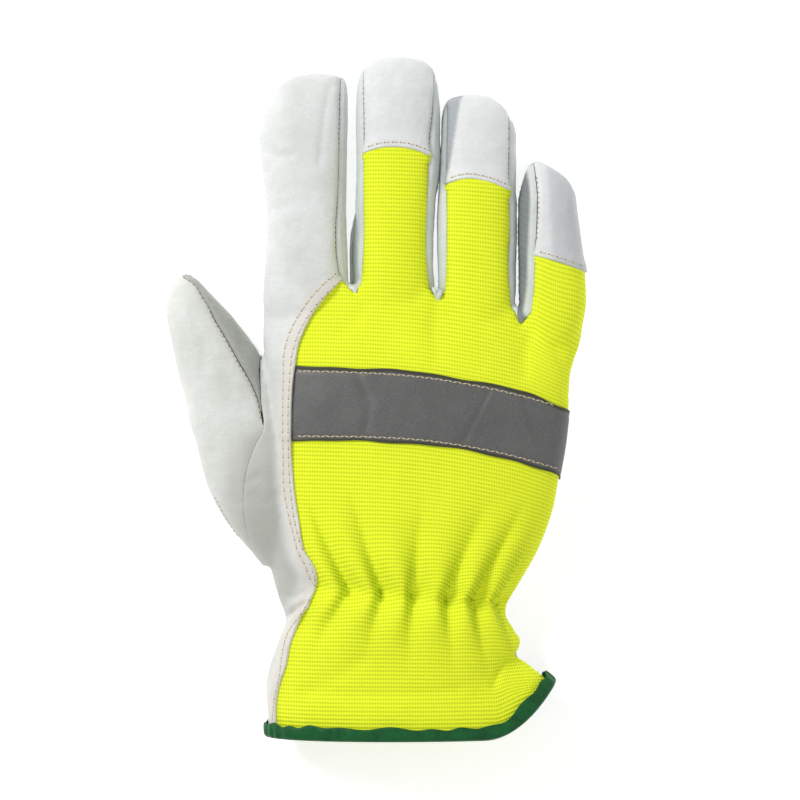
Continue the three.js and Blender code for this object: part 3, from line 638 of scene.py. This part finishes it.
class Paint:
    def __init__(self, name):
        self.material = bpy.data.materials.new(name)
        self.material.use_nodes = True
        self.tree = self.material.node_tree
        self.tree.nodes.clear()

    def node(self, kind, settings, inputs):
        made = self.tree.nodes.new(kind)
        for key, value in settings.items():
            if key == "stops":
                ramp = made.color_ramp
                while len(ramp.elements) > 1:
                    ramp.elements.remove(ramp.elements[0])
                for spot, (place, colour) in enumerate(value):
                    stop = ramp.elements[0] if spot == 0 else ramp.elements.new(place)
                    stop.position, stop.color = place, colour
            else:
                setattr(made, key, value)
        pairs = inputs.items() if isinstance(inputs, dict) else enumerate(inputs)
        for key, value in pairs:
            socket = made.inputs[key]
            if isinstance(value, Signal):
                self.tree.links.new(value.socket, socket)
            else:
                socket.default_value = value
        return Placed(self, made)

    def place(self):
        return self.node("ShaderNodeTexCoord", {}, {}).out("Object")

    def layer(self, name):
        return self.node("ShaderNodeAttribute", {"attribute_name": name}, {}).out("Fac")

    def grain(self, scale, detail=3.0, rough=0.55, place=None, stretch=None):
        vector = place or self.place()
        if stretch:
            vector = self.node("ShaderNodeMapping", {}, {"Vector": vector, "Scale": stretch}).out()
        inputs = {"Vector": vector, "Scale": scale, "Detail": detail, "Roughness": rough}
        return self.node("ShaderNodeTexNoise", {}, inputs).out()

    def ramp(self, value, stops):
        return self.node("ShaderNodeValToRGB", {"stops": stops}, [value]).out()

    def mixed(self, share, first, second, kind="MIX"):
        made = self.tree.nodes.new("ShaderNodeMix")
        made.data_type, made.blend_type = "RGBA", kind
        for spot, value in ((0, share), (6, first), (7, second)):
            if isinstance(value, Signal):
                self.tree.links.new(value.socket, made.inputs[spot])
            else:
                made.inputs[spot].default_value = value
        return Signal(self, made.outputs[2])

    def bump(self, height, distance, strength=1.0, under=None):
        inputs = {"Height": height, "Distance": distance, "Strength": strength}
        if under:
            inputs["Normal"] = under
        return self.node("ShaderNodeBump", {}, inputs).out()

    def finish(self, **inputs):
        names = {key.replace("_", " "): value for key, value in inputs.items()}
        shader = self.node("ShaderNodeBsdfPrincipled", {}, names)
        self.node("ShaderNodeOutputMaterial", {}, {"Surface": shader.out()})
        return self.material


def shade(red, green, blue):
    # linear colour from screen values of 0 to 255
    line = lambda value: ((value / 255 + 0.055) / 1.055) ** 2.4 if value > 10.3 else value / 3294.6
    return (line(red), line(green), line(blue), 1)


def leather(name, light, dark, rough=0.55, shadeAndToneColour=None, stripped=None):
    paint = Paint(name)
    cells = paint.node("ShaderNodeTexVoronoi", {"feature": "SMOOTH_F1"},
                       {"Vector": paint.place(), "Scale": 1500.0, "Smoothness": 0.5}).out()
    soft = paint.grain(90.0, 4.0)
    lines = paint.grain(420.0, 4.0, 0.65, stretch=(1.0, 2.1, 1.0))
    fine = paint.grain(1300.0, 3.0, 0.65)
    blot = paint.grain(38.0, 5.0, 0.6)
    share = blot * 0.5 + soft * 0.25 + lines * 0.25
    colour = paint.mixed(((share - 0.36) * 3.4).clipped(), dark, light)
    # painted shade: the tone layer mixes in the darker colour where faces lie in shadow; on the palm it is
    # partly darker leather as well
    if shadeAndToneColour:
        colour = paint.mixed(paint.layer("tone") * (0.8 + blot * 0.4), colour, shadeAndToneColour)
    if stripped:
        colour = paint.mixed(paint.layer("strip"), colour, stripped)
    height = cells * 0.45 + lines * 0.6 + fine * 0.35
    bump = paint.bump(height, 0.00022, 0.75, paint.bump(soft, 0.0006, 0.5))
    return paint.finish(Base_Color=colour, Roughness=rough + (fine - 0.5) * 0.25, Normal=bump,
                        Specular_IOR_Level=0.35, Sheen_Weight=0.08)


def knit():
    paint = Paint("ribbed_knit")
    across, along, slopeShade = paint.layer("knitAcross"), paint.layer("knitAlong"), paint.layer("slopeShade")
    turn = 2 * math.pi
    rib = (along * turn + math.pi / 2).sine() * 0.5 + 0.5
    dots = (across * turn).sine() * 0.5 + 0.5
    groove = (1 - rib).power(1.6)
    fuzz = paint.grain(1800.0, 4.0, 0.7)
    blot = paint.grain(60.0, 4.0)
    low, high = shade(168, 196, 0), shade(240, 251, 50)
    # painted shade: darker in the grooves between the ribs and on the gathers' right-facing slopes, away from
    # the key light
    light = 1.05 - groove * (0.16 + dots * 0.62) - slopeShade * 0.5 + (fuzz - 0.5) * 0.35 + (blot - 0.5) * 0.3
    colour = paint.mixed(light.clipped(), low, high)
    height = fuzz * 0.5 + rib * 0.5 - groove * dots * 0.6
    bump = paint.bump(height, 0.00025, 0.6)
    # a faint painted glow: the knit emits its own colour to look as bright as fluorescent yarn
    return paint.finish(Base_Color=colour, Roughness=0.85, Normal=bump, Specular_IOR_Level=0.2,
                        Sheen_Weight=0.2, Sheen_Roughness=0.5, Sheen_Tint=shade(240, 250, 120),
                        Emission_Color=colour, Emission_Strength=0.06)


def reflective():
    paint = Paint("reflective_tape")
    cells = paint.node("ShaderNodeTexVoronoi", {}, {"Vector": paint.place(), "Scale": 2600.0}).out()
    fine = paint.grain(1500.0, 3.0, 0.7)
    blot = paint.grain(70.0, 4.0)
    level = (fine - 0.5) * 0.7 + (cells - 0.5) * 0.5 + (blot - 0.5) * 0.5 + 0.5
    colour = paint.mixed(level.clipped(), shade(78, 78, 77), shade(122, 122, 121))
    colour = paint.mixed(paint.layer("edge"), colour, shade(62, 64, 50))
    return paint.finish(Base_Color=colour, Roughness=0.5 + (fine - 0.5) * 0.2, Metallic=0.25,
                        Normal=paint.bump(cells, 0.00006, 0.5), Specular_IOR_Level=0.4)


def binding():
    paint = Paint("green_binding")
    weave = paint.grain(1400.0, 3.0, 0.6)
    folds = paint.grain(160.0, 3.0)
    share = (weave * 0.5 + folds * 0.5 - 0.3) * 2.5
    colour = paint.mixed(share.clipped(), shade(0, 62, 26), shade(16, 104, 48))
    return paint.finish(Base_Color=colour, Roughness=0.5 + (weave - 0.5) * 0.2, Specular_IOR_Level=0.3,
                        Normal=paint.bump(weave + folds * 3.0, 0.00016, 0.6))


def thread(name, colour):
    paint = Paint(name)
    twist = paint.grain(2400.0, 2.0)
    tone = paint.mixed(twist, tuple(value * 0.8 for value in colour[:3]) + (1,), colour)
    return paint.finish(Base_Color=tone, Roughness=0.7, Normal=paint.bump(twist, 0.00004, 0.5))


# the third colour of a leather is painted shade for faces in shadow; the palm's is partly darker leather as
# well
palmMaterial = leather("palm_grain", shade(236, 238, 237), shade(214, 216, 213),
                       shadeAndToneColour=shade(186, 187, 179), stripped=shade(221, 214, 203))
capMaterial = leather("cap_grain", shade(236, 238, 238), shade(218, 220, 220), shadeAndToneColour=shade(158, 164, 170))
thumbMaterial = leather("thumb_grain", shade(229, 231, 226), shade(206, 208, 202), shadeAndToneColour=shade(186, 187, 179))
# painted shade: the thumb's inner face is a darker copy of the leather, for the shadow it lies in
innerShadedMaterial = leather("thumb_inner_grain", shade(182, 185, 178), shade(156, 160, 152))
stripMaterial = leather("strip_grain", shade(226, 231, 229), shade(204, 210, 208), shadeAndToneColour=shade(132, 138, 142))
knitMaterial = knit()
bandMaterial = reflective()
bindingMaterial = binding()
threadMaterial = thread("cream_thread", shade(226, 212, 182))
# needle holes: a darker thread colour, painted shade inside the holes
holeMaterial = thread("needle_hole", shade(134, 118, 94))

made = {}


def register(piece, node):
    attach(piece, "root")
    if node:
        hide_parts(node)
    made[piece.name] = piece


# leather panels
leatherWall = 1.25
seamRoll = {"depth": 0.75, "wide": 1.0}
lapLift = {"rise": 1.35, "wide": 9.0, "overBand": 0.7}
gap = 0.15

leatherCreases = [   # points, depth, half width
    ([(-16.4, 113.6), (-18.2, 104), (-19.4, 92), (-20.5, 84)], 0.45, 1.2),
    ([(-43.0, 91.5), (-38, 88), (-31, 87.5)], 0.55, 1.6),
    ([(-40, 66), (-30, 70), (-20, 66)], 0.3, 2.2),
    ([(-39, 60), (-34, 52), (-30, 40)], 0.3, 2.4),
    ([(-36.5, -72), (-31, -73), (-25.5, -71)], 0.8, 1.4),
    ([(-34.5, -82.5), (-31.3, -79.2), (-28.6, -76.9), (-25.5, -74.6)], 1.5, 0.9),
    ([(-34.0, -85), (-36.3, -91), (-38.4, -97), (-39.6, -106), (-39.9, -120)], 0.7, 0.9),
    ([(-45, -30), (-41, -28), (-37, -30)], 0.4, 1.4), ([(-44, -36), (-40, -38), (-36, -36)], 0.3, 1.6),
    ([(-39, -2), (-35.5, -12), (-36, -24), (-34.8, -40)], 0.3, 1.8),
    ([(-62, 20), (-56, 12), (-52, 2)], 0.35, 2.6), ([(-58, -20), (-52, -27), (-50, -38)], 0.4, 2.2),
    ([(-66, 30), (-63, 22), (-61, 12)], 0.25, 2.4),
]
knitCreases = [
    ([(-24, -106.2), (-10, -106.8), (12, -106.8), (30, -105.6)], 0.7, 2.2),
    ([(53.5, -93.6), (50, -94.8), (47.3, -95.9), (45.0, -99.5), (43.0, -104.6)], 1.0, 1.2),
    ([(57.5, 24), (55, 17), (54, 8)], 0.5, 2.0), ([(22, 33), (21, 24), (22, 14)], 0.5, 2.2),
    ([(-4, 33), (-9, 26), (-14, 22)], 0.4, 2.4), ([(-5, -95), (-14, -101), (-25, -106)], 0.5, 3.0),
    ([(66, 18), (69, 8), (70, 1)], 0.5, 2.0),
]


def creaseAt(points, creases):
    total = np.zeros(len(points))
    for line, depth, wide in creases:
        total -= depth * bell(distanceTo(smoothLine(line, 1.5), points[:, :2]) / wide)
    return total


def bandLine(x, top):
    rows = np.array([(-60, 10.9, -15.8), (-28.6, 10.9, -15.8), (23.6, 7.7, -18.0), (50, 2.6, -23.0),
                     (62, -0.6, -26.4), (70.3, -3.2, -28.8), (95, -10, -36)])
    return curveAt(rows, 1 if top else 2, x)


def lapRaise(points):
    # the leather's edge lies on the knit, and a little higher on the band
    near = distanceTo(lapEdge, points[:, :2])
    x, y = points[:, 0], points[:, 1]
    inBand = ease((bandLine(x, True) + 1 - y) / 2) * ease((y - bandLine(x, False) + 1) / 2)
    fade = ease((44 - y) / 5)
    return (lapLift["rise"] + lapLift["overBand"] * inBand) * ease(1 - near / lapLift["wide"]) * fade, near


def upperField(points, name):
    outlines = {"back": backOutline, **fourchetteOutlines, **capOutlines}
    return np.minimum(insideOf(outlines[name], points[:, :2]), sideHeight(points))


softSeam = thumbRoot[:fork + 1]      # the thumb's seam lies flat below the fork


def softAt(points):
    return ease(1 - distanceTo(softSeam, points[:, :2]) / 6)


def gapAt(points):
    return gap * (1 - 0.85 * softAt(points))


def dressLeather(mesh, lap=False, capEdge=None, amount=1.0, hatch=None):
    points, normals = coordsOf(mesh), normalsOf(mesh)
    rim = edgeDistance(mesh)
    upright = uprightOf(normals)
    offset = -seamRoll["depth"] * bell(rim / seamRoll["wide"]) * (1 - 0.75 * softAt(points))
    if lap:
        raised, near = lapRaise(points)
        onBack = ease((points[:, 2] - 8) / 5)
        offset = np.where(near < 3, offset * (1 - onBack * ease(2 - near)), offset) + raised * onBack
        offset -= 0.25 * bell((near - 4.0) / 1.2) * onBack * ease((44 - points[:, 1]) / 5)
    if capEdge is not None:
        near = distanceTo(capEdge, points[:, :2])
        offset = offset * ease(near / 1.5) + 1.0 * ease(1 - near / 6.0)
    offset += amount * (0.30 * wrinkled(points, 16.0, 3) + 0.12 * wrinkled(points, 5.0, 9))
    offset += creaseAt(points, leatherCreases) * upright
    if hatch is not None:     # small slanting wrinkles on a face that is pushed together
        waves = points[:, 0] * 1.7 + points[:, 1] * 2.6 + 1.5 * wrinkled(points, 7.0, 21, 2)
        offset += 0.08 * hatch * np.sin(waves)
    lift = (reliefAt(points[:, 0], points[:, 1]) + hollowAt(points[:, 0], points[:, 1])) * upright
    points = points + normals * offset[:, None]
    points[:, 2] = np.maximum(points[:, 2] + lift, 0.0)
    placeAt(mesh, points)
    for _ in range(3):     # the wall stays above the floor as well
        points[:, 2] = np.maximum(points[:, 2], leatherWall * normalsOf(mesh)[:, 2])
        placeAt(mesh, points)


points = coordsOf(last)
covers = [upperField(points, name) for name in ("back", *fourchetteOutlines, *capOutlines)]
covers += [insideOf(outline, points[:, :2]) for outline in (thumbOuterOutline, thumbInnerOutline)]
palm = last.copy()
trim(palm, np.minimum(-np.max(covers, axis=0) - gapAt(points), cuffHeight(points, 1.6)))
dressLeather(palm, lap=True)
points = coordsOf(palm)
near = distanceTo(lapEdge, points[:, :2])
beside = near * np.where(insideOf(backOutline, points[:, :2]) > 0, -1, 1)
# painted shade mixed with darker leather: the tone rises towards the wrist and away from the lap seam
addLayer(palm, "tone", ease((28 - points[:, 1]) / 75) * ease((near - 3) / 6) * 0.95)
onBack = ease((46 - points[:, 1]) / 6) * ease((points[:, 2] - 8) / 5)
addLayer(palm, "strip", bell((beside - 2.6) / 2.3) * onBack * 0.75)
palmPiece = toObject(palm, "palm_leather_grain", palmMaterial, leatherWall)
register(palmPiece, "palm_leather")
print("palm:", len(palm.faces), "faces")


def sideShade(points, name):
    # painted shade where faces lie in shadow: ring finger's tip beside the middle one, little finger's left
    # face, thumb's root
    x, y, z = points.T
    if name == "cap_ring":
        line = np.interp(y, [79.7, 108.2, 113], [26.6, 31.0, 33.5])
        return ease((line - x + 0.8) / 1.6) * 0.85
    if name == "cap_little":
        return 0.38 * ease((x - 61.5 - 0.06 * (78 - y)) / 3)
    if name == "fourchette_ring_little":
        beside = distanceTo(seamLines["littleLeft"], points[:, :2]) - 1.6
        return ease((splitAt(2, y) - 0.2 < x) * beside / 1.6) * ease((84 - y) / 3)
    if name == "fourchette_middle_ring":
        return 0.5 * ease((x - 23.9) / 0.6) * ease((y - 74) / 6)
    if name == "thumb_outer":
        return 0.8 * ease(1 - distanceTo(softSeam, points[:, :2]) / 13) * ease((-6 - y) / 12)
    return np.zeros(len(points))


def panel(name, field, material, slotName, fine=1, **dress):
    mesh = last.copy()
    points = coordsOf(mesh)
    values = field(points)
    far = [vert for vert, value in zip(mesh.verts, values) if value < -4]
    bmesh.ops.delete(mesh, geom=far, context="VERTS")
    for _ in range(fine):
        bmesh.ops.subdivide_edges(mesh, edges=mesh.edges, cuts=1, use_grid_fill=True, smooth=0.6)
    points = coordsOf(mesh)
    trim(mesh, field(points) - gapAt(points))
    # the painted shade is stored in the tone layer, and on two pieces it also places the slanting wrinkles
    tone = sideShade(coordsOf(mesh), name)
    dressLeather(mesh, hatch=tone if name in ("cap_ring", "fourchette_ring_little") else None, **dress)
    addLayer(mesh, "tone", tone)
    piece = toObject(mesh, name + "_grain", material, leatherWall)
    register(piece, name)
    print(name + ":", len(mesh.faces), "faces")
    return mesh


panels = {}
for name in fourchetteOutlines:
    field = lambda points, name=name: upperField(points, name)
    panels[name] = panel(name, field, stripMaterial, "strip_leather")
for name in capOutlines:
    edgeLine = capEdges[name.split("_")[1]]
    field = lambda points, name=name: upperField(points, name)
    panels[name] = panel(name, field, capMaterial, "cap_leather", capEdge=edgeLine)
outer = lambda points: insideOf(thumbOuterOutline, points[:, :2])
inner = lambda points: insideOf(thumbInnerOutline, points[:, :2])
panels["thumb_outer"] = panel("thumb_outer", outer, thumbMaterial, "thumb_leather")
# the thumb's inner face gets the darker leather, painted shade
panels["thumb_inner"] = panel("thumb_inner", inner, innerShadedMaterial, "strip_leather")

# the knit back
knitBack = {"rib": 1.46, "dot": 0.95, "ribHeight": 0.07, "wall": 1.1, "columns": 92, "under": 3.2}


def backPoint(x, y):
    # a point on the smooth form seen from above, or from the side beyond the little finger's edge
    hub = curveAt(np.array([(-150, 38), (-105, 42), (-92, 34), (-72, 30), (-60, 36), (-45, 44), (-20, 52),
                            (10, 56), (30, 58.5), (60, 60), (125, 60)], float), 1, y)
    points = np.zeros((len(x), 3))
    for spot in range(len(x)):
        if x[spot] <= hub[spot]:
            start, direction = Vector((x[spot], y[spot], 80)), Vector((0, 0, -1))
        else:
            turn = (x[spot] - hub[spot]) / 17.0
            direction = -Vector((math.sin(turn), 0, math.cos(turn)))
            start = Vector((hub[spot], y[spot], 12)) - direction * 60
        hit = lastTree.ray_cast(start, direction)
        points[spot] = hit[0] if hit[0] else (x[spot], y[spot], -50)
    return points


def gridNormals(points, across, along):
    shaped = points.reshape(along + 1, across + 1, 3)
    normals = np.cross(np.gradient(shaped, axis=1), np.gradient(shaped, axis=0)).reshape(-1, 3)
    return normals / np.maximum(1e-9, np.linalg.norm(normals, axis=1))[:, None]


def ribShift(x, y):
    # the ribs fall toward the little finger as the band does, and rise over the gathers' ridges
    ridge, shown, _ = gatherAt(x, y)
    fall = (bandLine(x, True) - 10.9) * np.interp(y, [-108, -88, -60, 20, 60, 100], [0, 0.35, 1, 1, 0.5, 0.3])
    flare = 0.35 * np.maximum(0, x - 44) * ease((-92 - y) / 16)
    inside = ease((x + 27) / 6) * ease((60 - x) / 8)
    return fall + flare + elastic["ribLift"] * (ridge - 0.5) * shown * inside


def knitCloth():
    low, high = -130.0, 98.0
    along = int((high - low) / (knitBack["rib"] / 4))
    across = knitBack["columns"]
    mesh, u, v = gridOf(across, along)
    x = -40 + u * 128.0
    rows = low + v * (high - low)
    y = rows + ribShift(x, rows)
    y = rows + ribShift(x, y)
    points = backPoint(x, y)
    good = points[:, 2] > -40
    normals = gridNormals(points, across, along)
    phase = rows / knitBack["rib"]
    upright = uprightOf(normals)
    flat = points[:, :2]
    toCaps = {name: distanceTo(line, flat) for name, line in capEdges.items()}
    underCap = lambda name: toCaps[name] + 50 * (insideOf(capOutlines["cap_" + name], flat) < 0)
    under = np.min([underCap(name) for name in capEdges], axis=0)
    sink = 0.9 * ease(1 - np.abs(under - 2.0) / 2.0) * (under < 10)
    ribs = knitBack["ribHeight"] * np.cos(2 * np.pi * phase)
    soft = 0.22 * wrinkled(points, 22.0, 5, 2)
    lift = (reliefAt(points[:, 0], points[:, 1]) + hollowAt(points[:, 0], points[:, 1])) * upright
    crease = creaseAt(points, knitCreases)
    moved = points + normals * (ribs + soft + crease - sink)[:, None]
    moved[:, 2] += lift
    field = insideOf(backOutline, points[:, :2])
    nearLap = distanceTo(lapEdge, points[:, :2])
    field = np.maximum(field, np.where(points[:, 1] < 36, knitBack["under"] - nearLap, -9))
    field = np.maximum(field, np.where(under < 10, 3.0 - under, -9))
    inward = insideOf(backOutline, points[:, :2])
    field = np.minimum(field, sideHeight(points) - gap)
    field = np.minimum(field, cuffHeight(points, 1.6))
    field = np.where(good, field, -20)
    turned = np.minimum(np.maximum(inward, 0), np.maximum(sideHeight(points), 0))
    nearCap = np.min(list(toCaps.values()), axis=0) < 2.5
    keepFlat = (nearLap < 2.5) | (under < 8) | (cuffHeight(points) < 8) | nearCap
    roll = np.where(keepFlat, 0, 0.8 * bell(turned / 1.0))
    moved -= normals * roll[:, None]
    addLayer(mesh, "knitAcross", x / knitBack["dot"])
    addLayer(mesh, "knitAlong", phase)
    # painted shade: slopes of the gathers that face right, away from the key light, are marked for darkening
    slope = (reliefAt(points[:, 0] + 0.7, points[:, 1]) - reliefAt(points[:, 0] - 0.7, points[:, 1])) / 1.4
    addLayer(mesh, "slopeShade", np.clip(-slope * upright, 0, 1))
    placeAt(mesh, moved)
    trim(mesh, field)
    return mesh


knitMesh = knitCloth()
print("knit:", len(knitMesh.faces), "faces")
knitPiece = toObject(knitMesh, "back_knit_ribbed", knitMaterial, knitBack["wall"])
register(knitPiece, "back_knit")

# the band
band = {"stand": 0.75, "wall": 0.55, "stitchIn": 1.6}
bandCreases = [
    ([(41.3, 2.5), (36, -8), (32.0, -15.8)], 0.5, 0.9),
    ([(53.2, -0.1), (56, -10), (58.3, -18.4)], 0.45, 0.9),
    ([(-6, 8), (-2, -4), (-4, -14)], 0.3, 1.6),
]


def bandStrip():
    across, along = 150, 58
    mesh, u, v = gridOf(across, along)
    x = -33 + u * 122.0
    low, high = bandLine(x, False), bandLine(x, True)
    wave = 0.25 * np.sin(x / 6.3) + 0.15 * np.sin(x / 2.9)
    y = low + v * (high - low) + wave * (2 * v - 1)
    points = backPoint(x, y)
    good = points[:, 2] > -40
    normals = gridNormals(points, across, along)
    crease = creaseAt(points, bandCreases)
    fromEdge = np.minimum(v, 1 - v) * (high - low)
    dip = -0.22 * bell((fromEdge - band["stitchIn"]) / 0.7)
    soft = 0.22 * wrinkled(points, 22.0, 5, 2) + 0.12 * wrinkled(points, 9.0, 12, 2)
    moved = points + normals * (band["stand"] + crease + dip + soft)[:, None]
    moved[:, 2] += hollowAt(points[:, 0], points[:, 1]) * uprightOf(normals)
    addLayer(mesh, "edge", 0.9 * ease((band["stitchIn"] - 0.1 - fromEdge) / 0.5))
    field = np.minimum(insideOf(backOutline, points[:, :2]) + 2.8, sideHeight(points) - 0.3)
    placeAt(mesh, moved)
    trim(mesh, np.where(good, field, -20))
    return mesh


bandMesh = bandStrip()
bandPiece = toObject(bandMesh, "reflective_band_tape", bandMaterial, band["wall"])
register(bandPiece, "reflective_band")
bandTree = BVHTree.FromBMesh(bandMesh)
print("band:", len(bandMesh.faces), "faces")

# the hem
hem = {"wave": 0.7, "puff": 0.28}
hemProfile = np.array([   # out from the wall, up from the cuff's edge, clockwise from inside
    (-2.3, 4.0), (-2.5, 3.2), (-2.55, 1.6), (-2.5, 0.2), (-2.2, -0.7), (-1.5, -1.2), (-0.6, -1.35),
    (0.3, -1.2), (0.95, -0.7), (1.25, 0.1), (1.32, 1.4), (1.3, 2.8), (1.15, 3.7), (0.85, 4.0)])


def hemRing():
    turns, steps = 520, 26
    mesh, u, v = gridOf(turns, steps)
    turn = 2 * np.pi * u
    row = np.full(len(u), 0.022)
    rim = handPoint(row, turn)
    inner = handPoint(row + 0.03, turn)
    ahead, behind = handPoint(row, turn + 0.01), handPoint(row, turn - 0.01)
    for points in (rim, inner, ahead, behind):
        points[:, 2] = np.maximum(points[:, 2], 1.2)
    up = inner - rim
    up /= np.linalg.norm(up, axis=1)[:, None]
    out = np.cross(ahead - behind, up)
    out /= np.maximum(1e-9, np.linalg.norm(out, axis=1))[:, None]
    table = np.column_stack([np.linspace(0, 1, len(hemProfile)), hemProfile])
    outward, upward = curveAt(table, 1, v), curveAt(table, 2, v)
    edgeWave = hem["wave"] * (np.sin(turn * 23 + 1.3 * np.sin(turn * 5)) * 0.6 + np.sin(turn * 11 + 2) * 0.5)
    upward = upward + edgeWave * ease((upward - 1) / 3)
    puff = hem["puff"] * np.sin(turn * 31 + 3.0 * np.sin(turn * 9)) * bell((upward - 1.2) / 2.4)
    outward = outward + puff * np.sign(outward + 0.6)
    points = rim + out * outward[:, None] + up * upward[:, None]
    points[:, 2] = np.maximum(points[:, 2], 0)
    placeAt(mesh, points)
    bmesh.ops.remove_doubles(mesh, verts=mesh.verts, dist=0.02)
    return mesh


hemMesh = hemRing()
hemPiece = toObject(hemMesh, "hem_binding_folded", bindingMaterial, 0.3)
register(hemPiece, "hem_binding")
print("hem:", len(hemMesh.faces), "faces")

# stitches
palmTree = BVHTree.FromBMesh(palm)
thumbTree = BVHTree.FromBMesh(panels["thumb_outer"])
capTrees = {name: BVHTree.FromBMesh(panels[name]) for name in capOutlines}


def beadOf(segments, rings):
    bead = bmesh.new()
    bmesh.ops.create_uvsphere(bead, u_segments=segments, v_segments=rings, radius=1)
    data = bpy.data.meshes.new("bead")
    bead.to_mesh(data)
    return data


stitchBead, holeBead = beadOf(8, 5), beadOf(6, 4)


def addBead(mesh, bead, matrix):
    before = len(mesh.verts)
    mesh.from_mesh(bead)
    mesh.verts.ensure_lookup_table()
    for spot in range(before, len(mesh.verts)):
        mesh.verts[spot].co = matrix @ mesh.verts[spot].co


def stitchRow(mesh, holes, trees, line, pitch, long, thick=0.32, slant=0.0, sink=0.12):
    places = smoothLine(line, pitch)
    for spot in range(len(places) - 1):
        middle = (places[spot] + places[spot + 1]) / 2
        along = places[spot + 1] - places[spot]
        angle = math.atan2(along[1], along[0]) + slant * (1 if spot % 2 else -1)
        tip = np.array([math.cos(angle), math.sin(angle)]) * long / 2
        ends = []
        for end in (middle - tip, middle + tip):
            heights = [height for height in (dropOn(tree, *end) for tree in trees) if height is not None]
            if heights:
                ends.append(Vector((end[0], end[1], max(heights))))
        if len(ends) < 2:
            continue
        axis = ends[1] - ends[0]
        turn = axis.to_track_quat("X", "Z").to_matrix().to_4x4()
        centre = (ends[0] + ends[1]) / 2 + Vector((0, 0, thick * 0.35 - sink))
        shape = Matrix.Translation(centre) @ turn @ Matrix.Diagonal((axis.length / 2, thick, thick * 0.8, 1))
        addBead(mesh, stitchBead, shape)
        # a flat dark bead at each stitch end paints the shade inside its needle hole
        hole = Matrix.Translation(ends[0] + Vector((0, 0, 0.02))) @ Matrix.Diagonal((0.3, 0.3, 0.1, 1))
        addBead(holes, holeBead, hole)


outerRow = [(-21.4, -68.5), (-23.1, -66.2), (-25.3, -60.3), (-27.8, -55.9), (-29.1, -50.8), (-31.3, -42.1),
            (-32.9, -33.3), (-33.1, -22.7), (-33.3, -9.2), (-33.1, 6.1), (-32.9, 16.3), (-31.1, 22.9),
            (-27.1, 30.6), (-20.5, 39.0), (-12.6, 46.4)]
innerRow = [(-21.6, -66.5), (-22.0, -64.0), (-23.5, -59.6), (-26.4, -54.1), (-28.2, -48.3), (-30.4, -34.0),
            (-31.3, -14.3), (-31.3, -4.1), (-30.8, 6.1), (-30.0, 15.2), (-28.2, 21.6), (-24.6, 28.7),
            (-20.2, 34.6), (-13.2, 41.9)]
stitches, holes = bmesh.new(), bmesh.new()
cuffRow = [(-23.5, -73), (-27, -79), (-30.6, -83.7), (-32.2, -87), (-33.7, -93.4), (-34.6, -100.8),
           (-36.6, -109.8), (-37.3, -118)]
for line in (outerRow, innerRow, cuffRow):
    stitchRow(stitches, holes, [palmTree], line, 3.0, 2.3)
for name, edgeLine in capEdges.items():
    row = edgeLine[edgeLine[:, 0] < 79] + np.array([0, 1.5])
    stitchRow(stitches, holes, [capTrees["cap_" + name]], row[1:], 2.8, 2.1)
for top in (True, False):
    xs = np.linspace(-28.0, 69.5, 60)
    ys = bandLine(xs, top) + (-band["stitchIn"] if top else band["stitchIn"])
    stitchRow(stitches, holes, [bandTree], np.column_stack([xs, ys]), 1.7, 1.9, 0.22, 0.3)
thumbRow = thumbSeam[2:-2] - np.array([0.75, 0.35])
stitchRow(stitches, holes, [thumbTree], thumbRow, 2.0, 1.1, 0.26)
rootRow = [(-58.2, -36.5), (-52.6, -47.0), (-46.6, -56.2), (-41.8, -62.4)]
stitchRow(stitches, holes, [thumbTree, palmTree], rootRow, 1.7, 1.1, 0.26)
for name, side, low, high, trees in (
        ("indexRight", -0.7, 46, 112, [palmTree]), ("middleLeft", 0.7, 92, 117, [capTrees["cap_middle"]]),
        ("middleRight", -0.7, 91, 116, [capTrees["cap_middle"]]),
        ("ringRight", -0.7, 78, 101, [capTrees["cap_ring"]]),
        ("littleLeft", 0.7, 55, 82, [capTrees["cap_little"]])):
    row = stretchOf(seamLines[name], low, high) + np.array([side, 0])
    stitchRow(stitches, holes, trees, row, 1.8, 0.6, 0.18)
stitchPiece = toObject(stitches, "seam_stitches", threadMaterial)
holePiece = toObject(holes, "needle_holes", holeMaterial)
register(stitchPiece, None)
register(holePiece, None)
print("stitches:", len(stitches.faces), "faces")

# floor, light and camera
ground = bmesh.new()
bmesh.ops.create_grid(ground, x_segments=1, y_segments=1, size=3000)
groundPaint = Paint("pale_floor")
groundMaterial = groundPaint.finish(Base_Color=(0.9, 0.9, 0.9, 1), Roughness=0.9, Specular_IOR_Level=0.1,
                                     Emission_Color=(1, 1, 1, 1), Emission_Strength=0.5)
bmesh.ops.translate(ground, verts=ground.verts, vec=(0, 0, -0.2))
floor = toObject(ground, "floor", groundMaterial)


def softLight(name, place, size, power, aim=(0, 0, 0)):
    data = bpy.data.lights.new(name, "AREA")
    data.shape, data.size, data.energy = "DISK", size, power
    lamp = bpy.data.objects.new(name, data)
    lamp.location = place
    lamp.rotation_euler = (Vector(aim) - Vector(place)).to_track_quat("-Z", "Y").to_euler()
    bpy.context.scene.collection.objects.link(lamp)


softLight("key", (-0.75, 0.65, 0.85), 0.45, 9.5)
softLight("fill", (0.9, 0.1, 0.9), 0.9, 1.6)
softLight("front", (-0.1, -0.9, 0.8), 0.9, 1.2)
world = bpy.data.worlds.new("studio")
world.use_nodes = True
world.node_tree.nodes["Background"].inputs["Color"].default_value = (1, 1, 1, 1)
world.node_tree.nodes["Background"].inputs["Strength"].default_value = 0.46
bpy.context.scene.world = world
bpy.context.scene.view_settings.view_transform = "Standard"

view = {"middle": (0.00903, -0.00119), "width": 0.292, "lens": 120.0}
cameraData = bpy.data.cameras.new("camera")
cameraData.lens = view["lens"]
cameraData.sensor_width = 36
camera = bpy.data.objects.new("camera", cameraData)
camera.location = (*view["middle"], 0.015 + view["width"] * view["lens"] / 36)
bpy.context.scene.collection.objects.link(camera)
bpy.context.scene.camera = camera
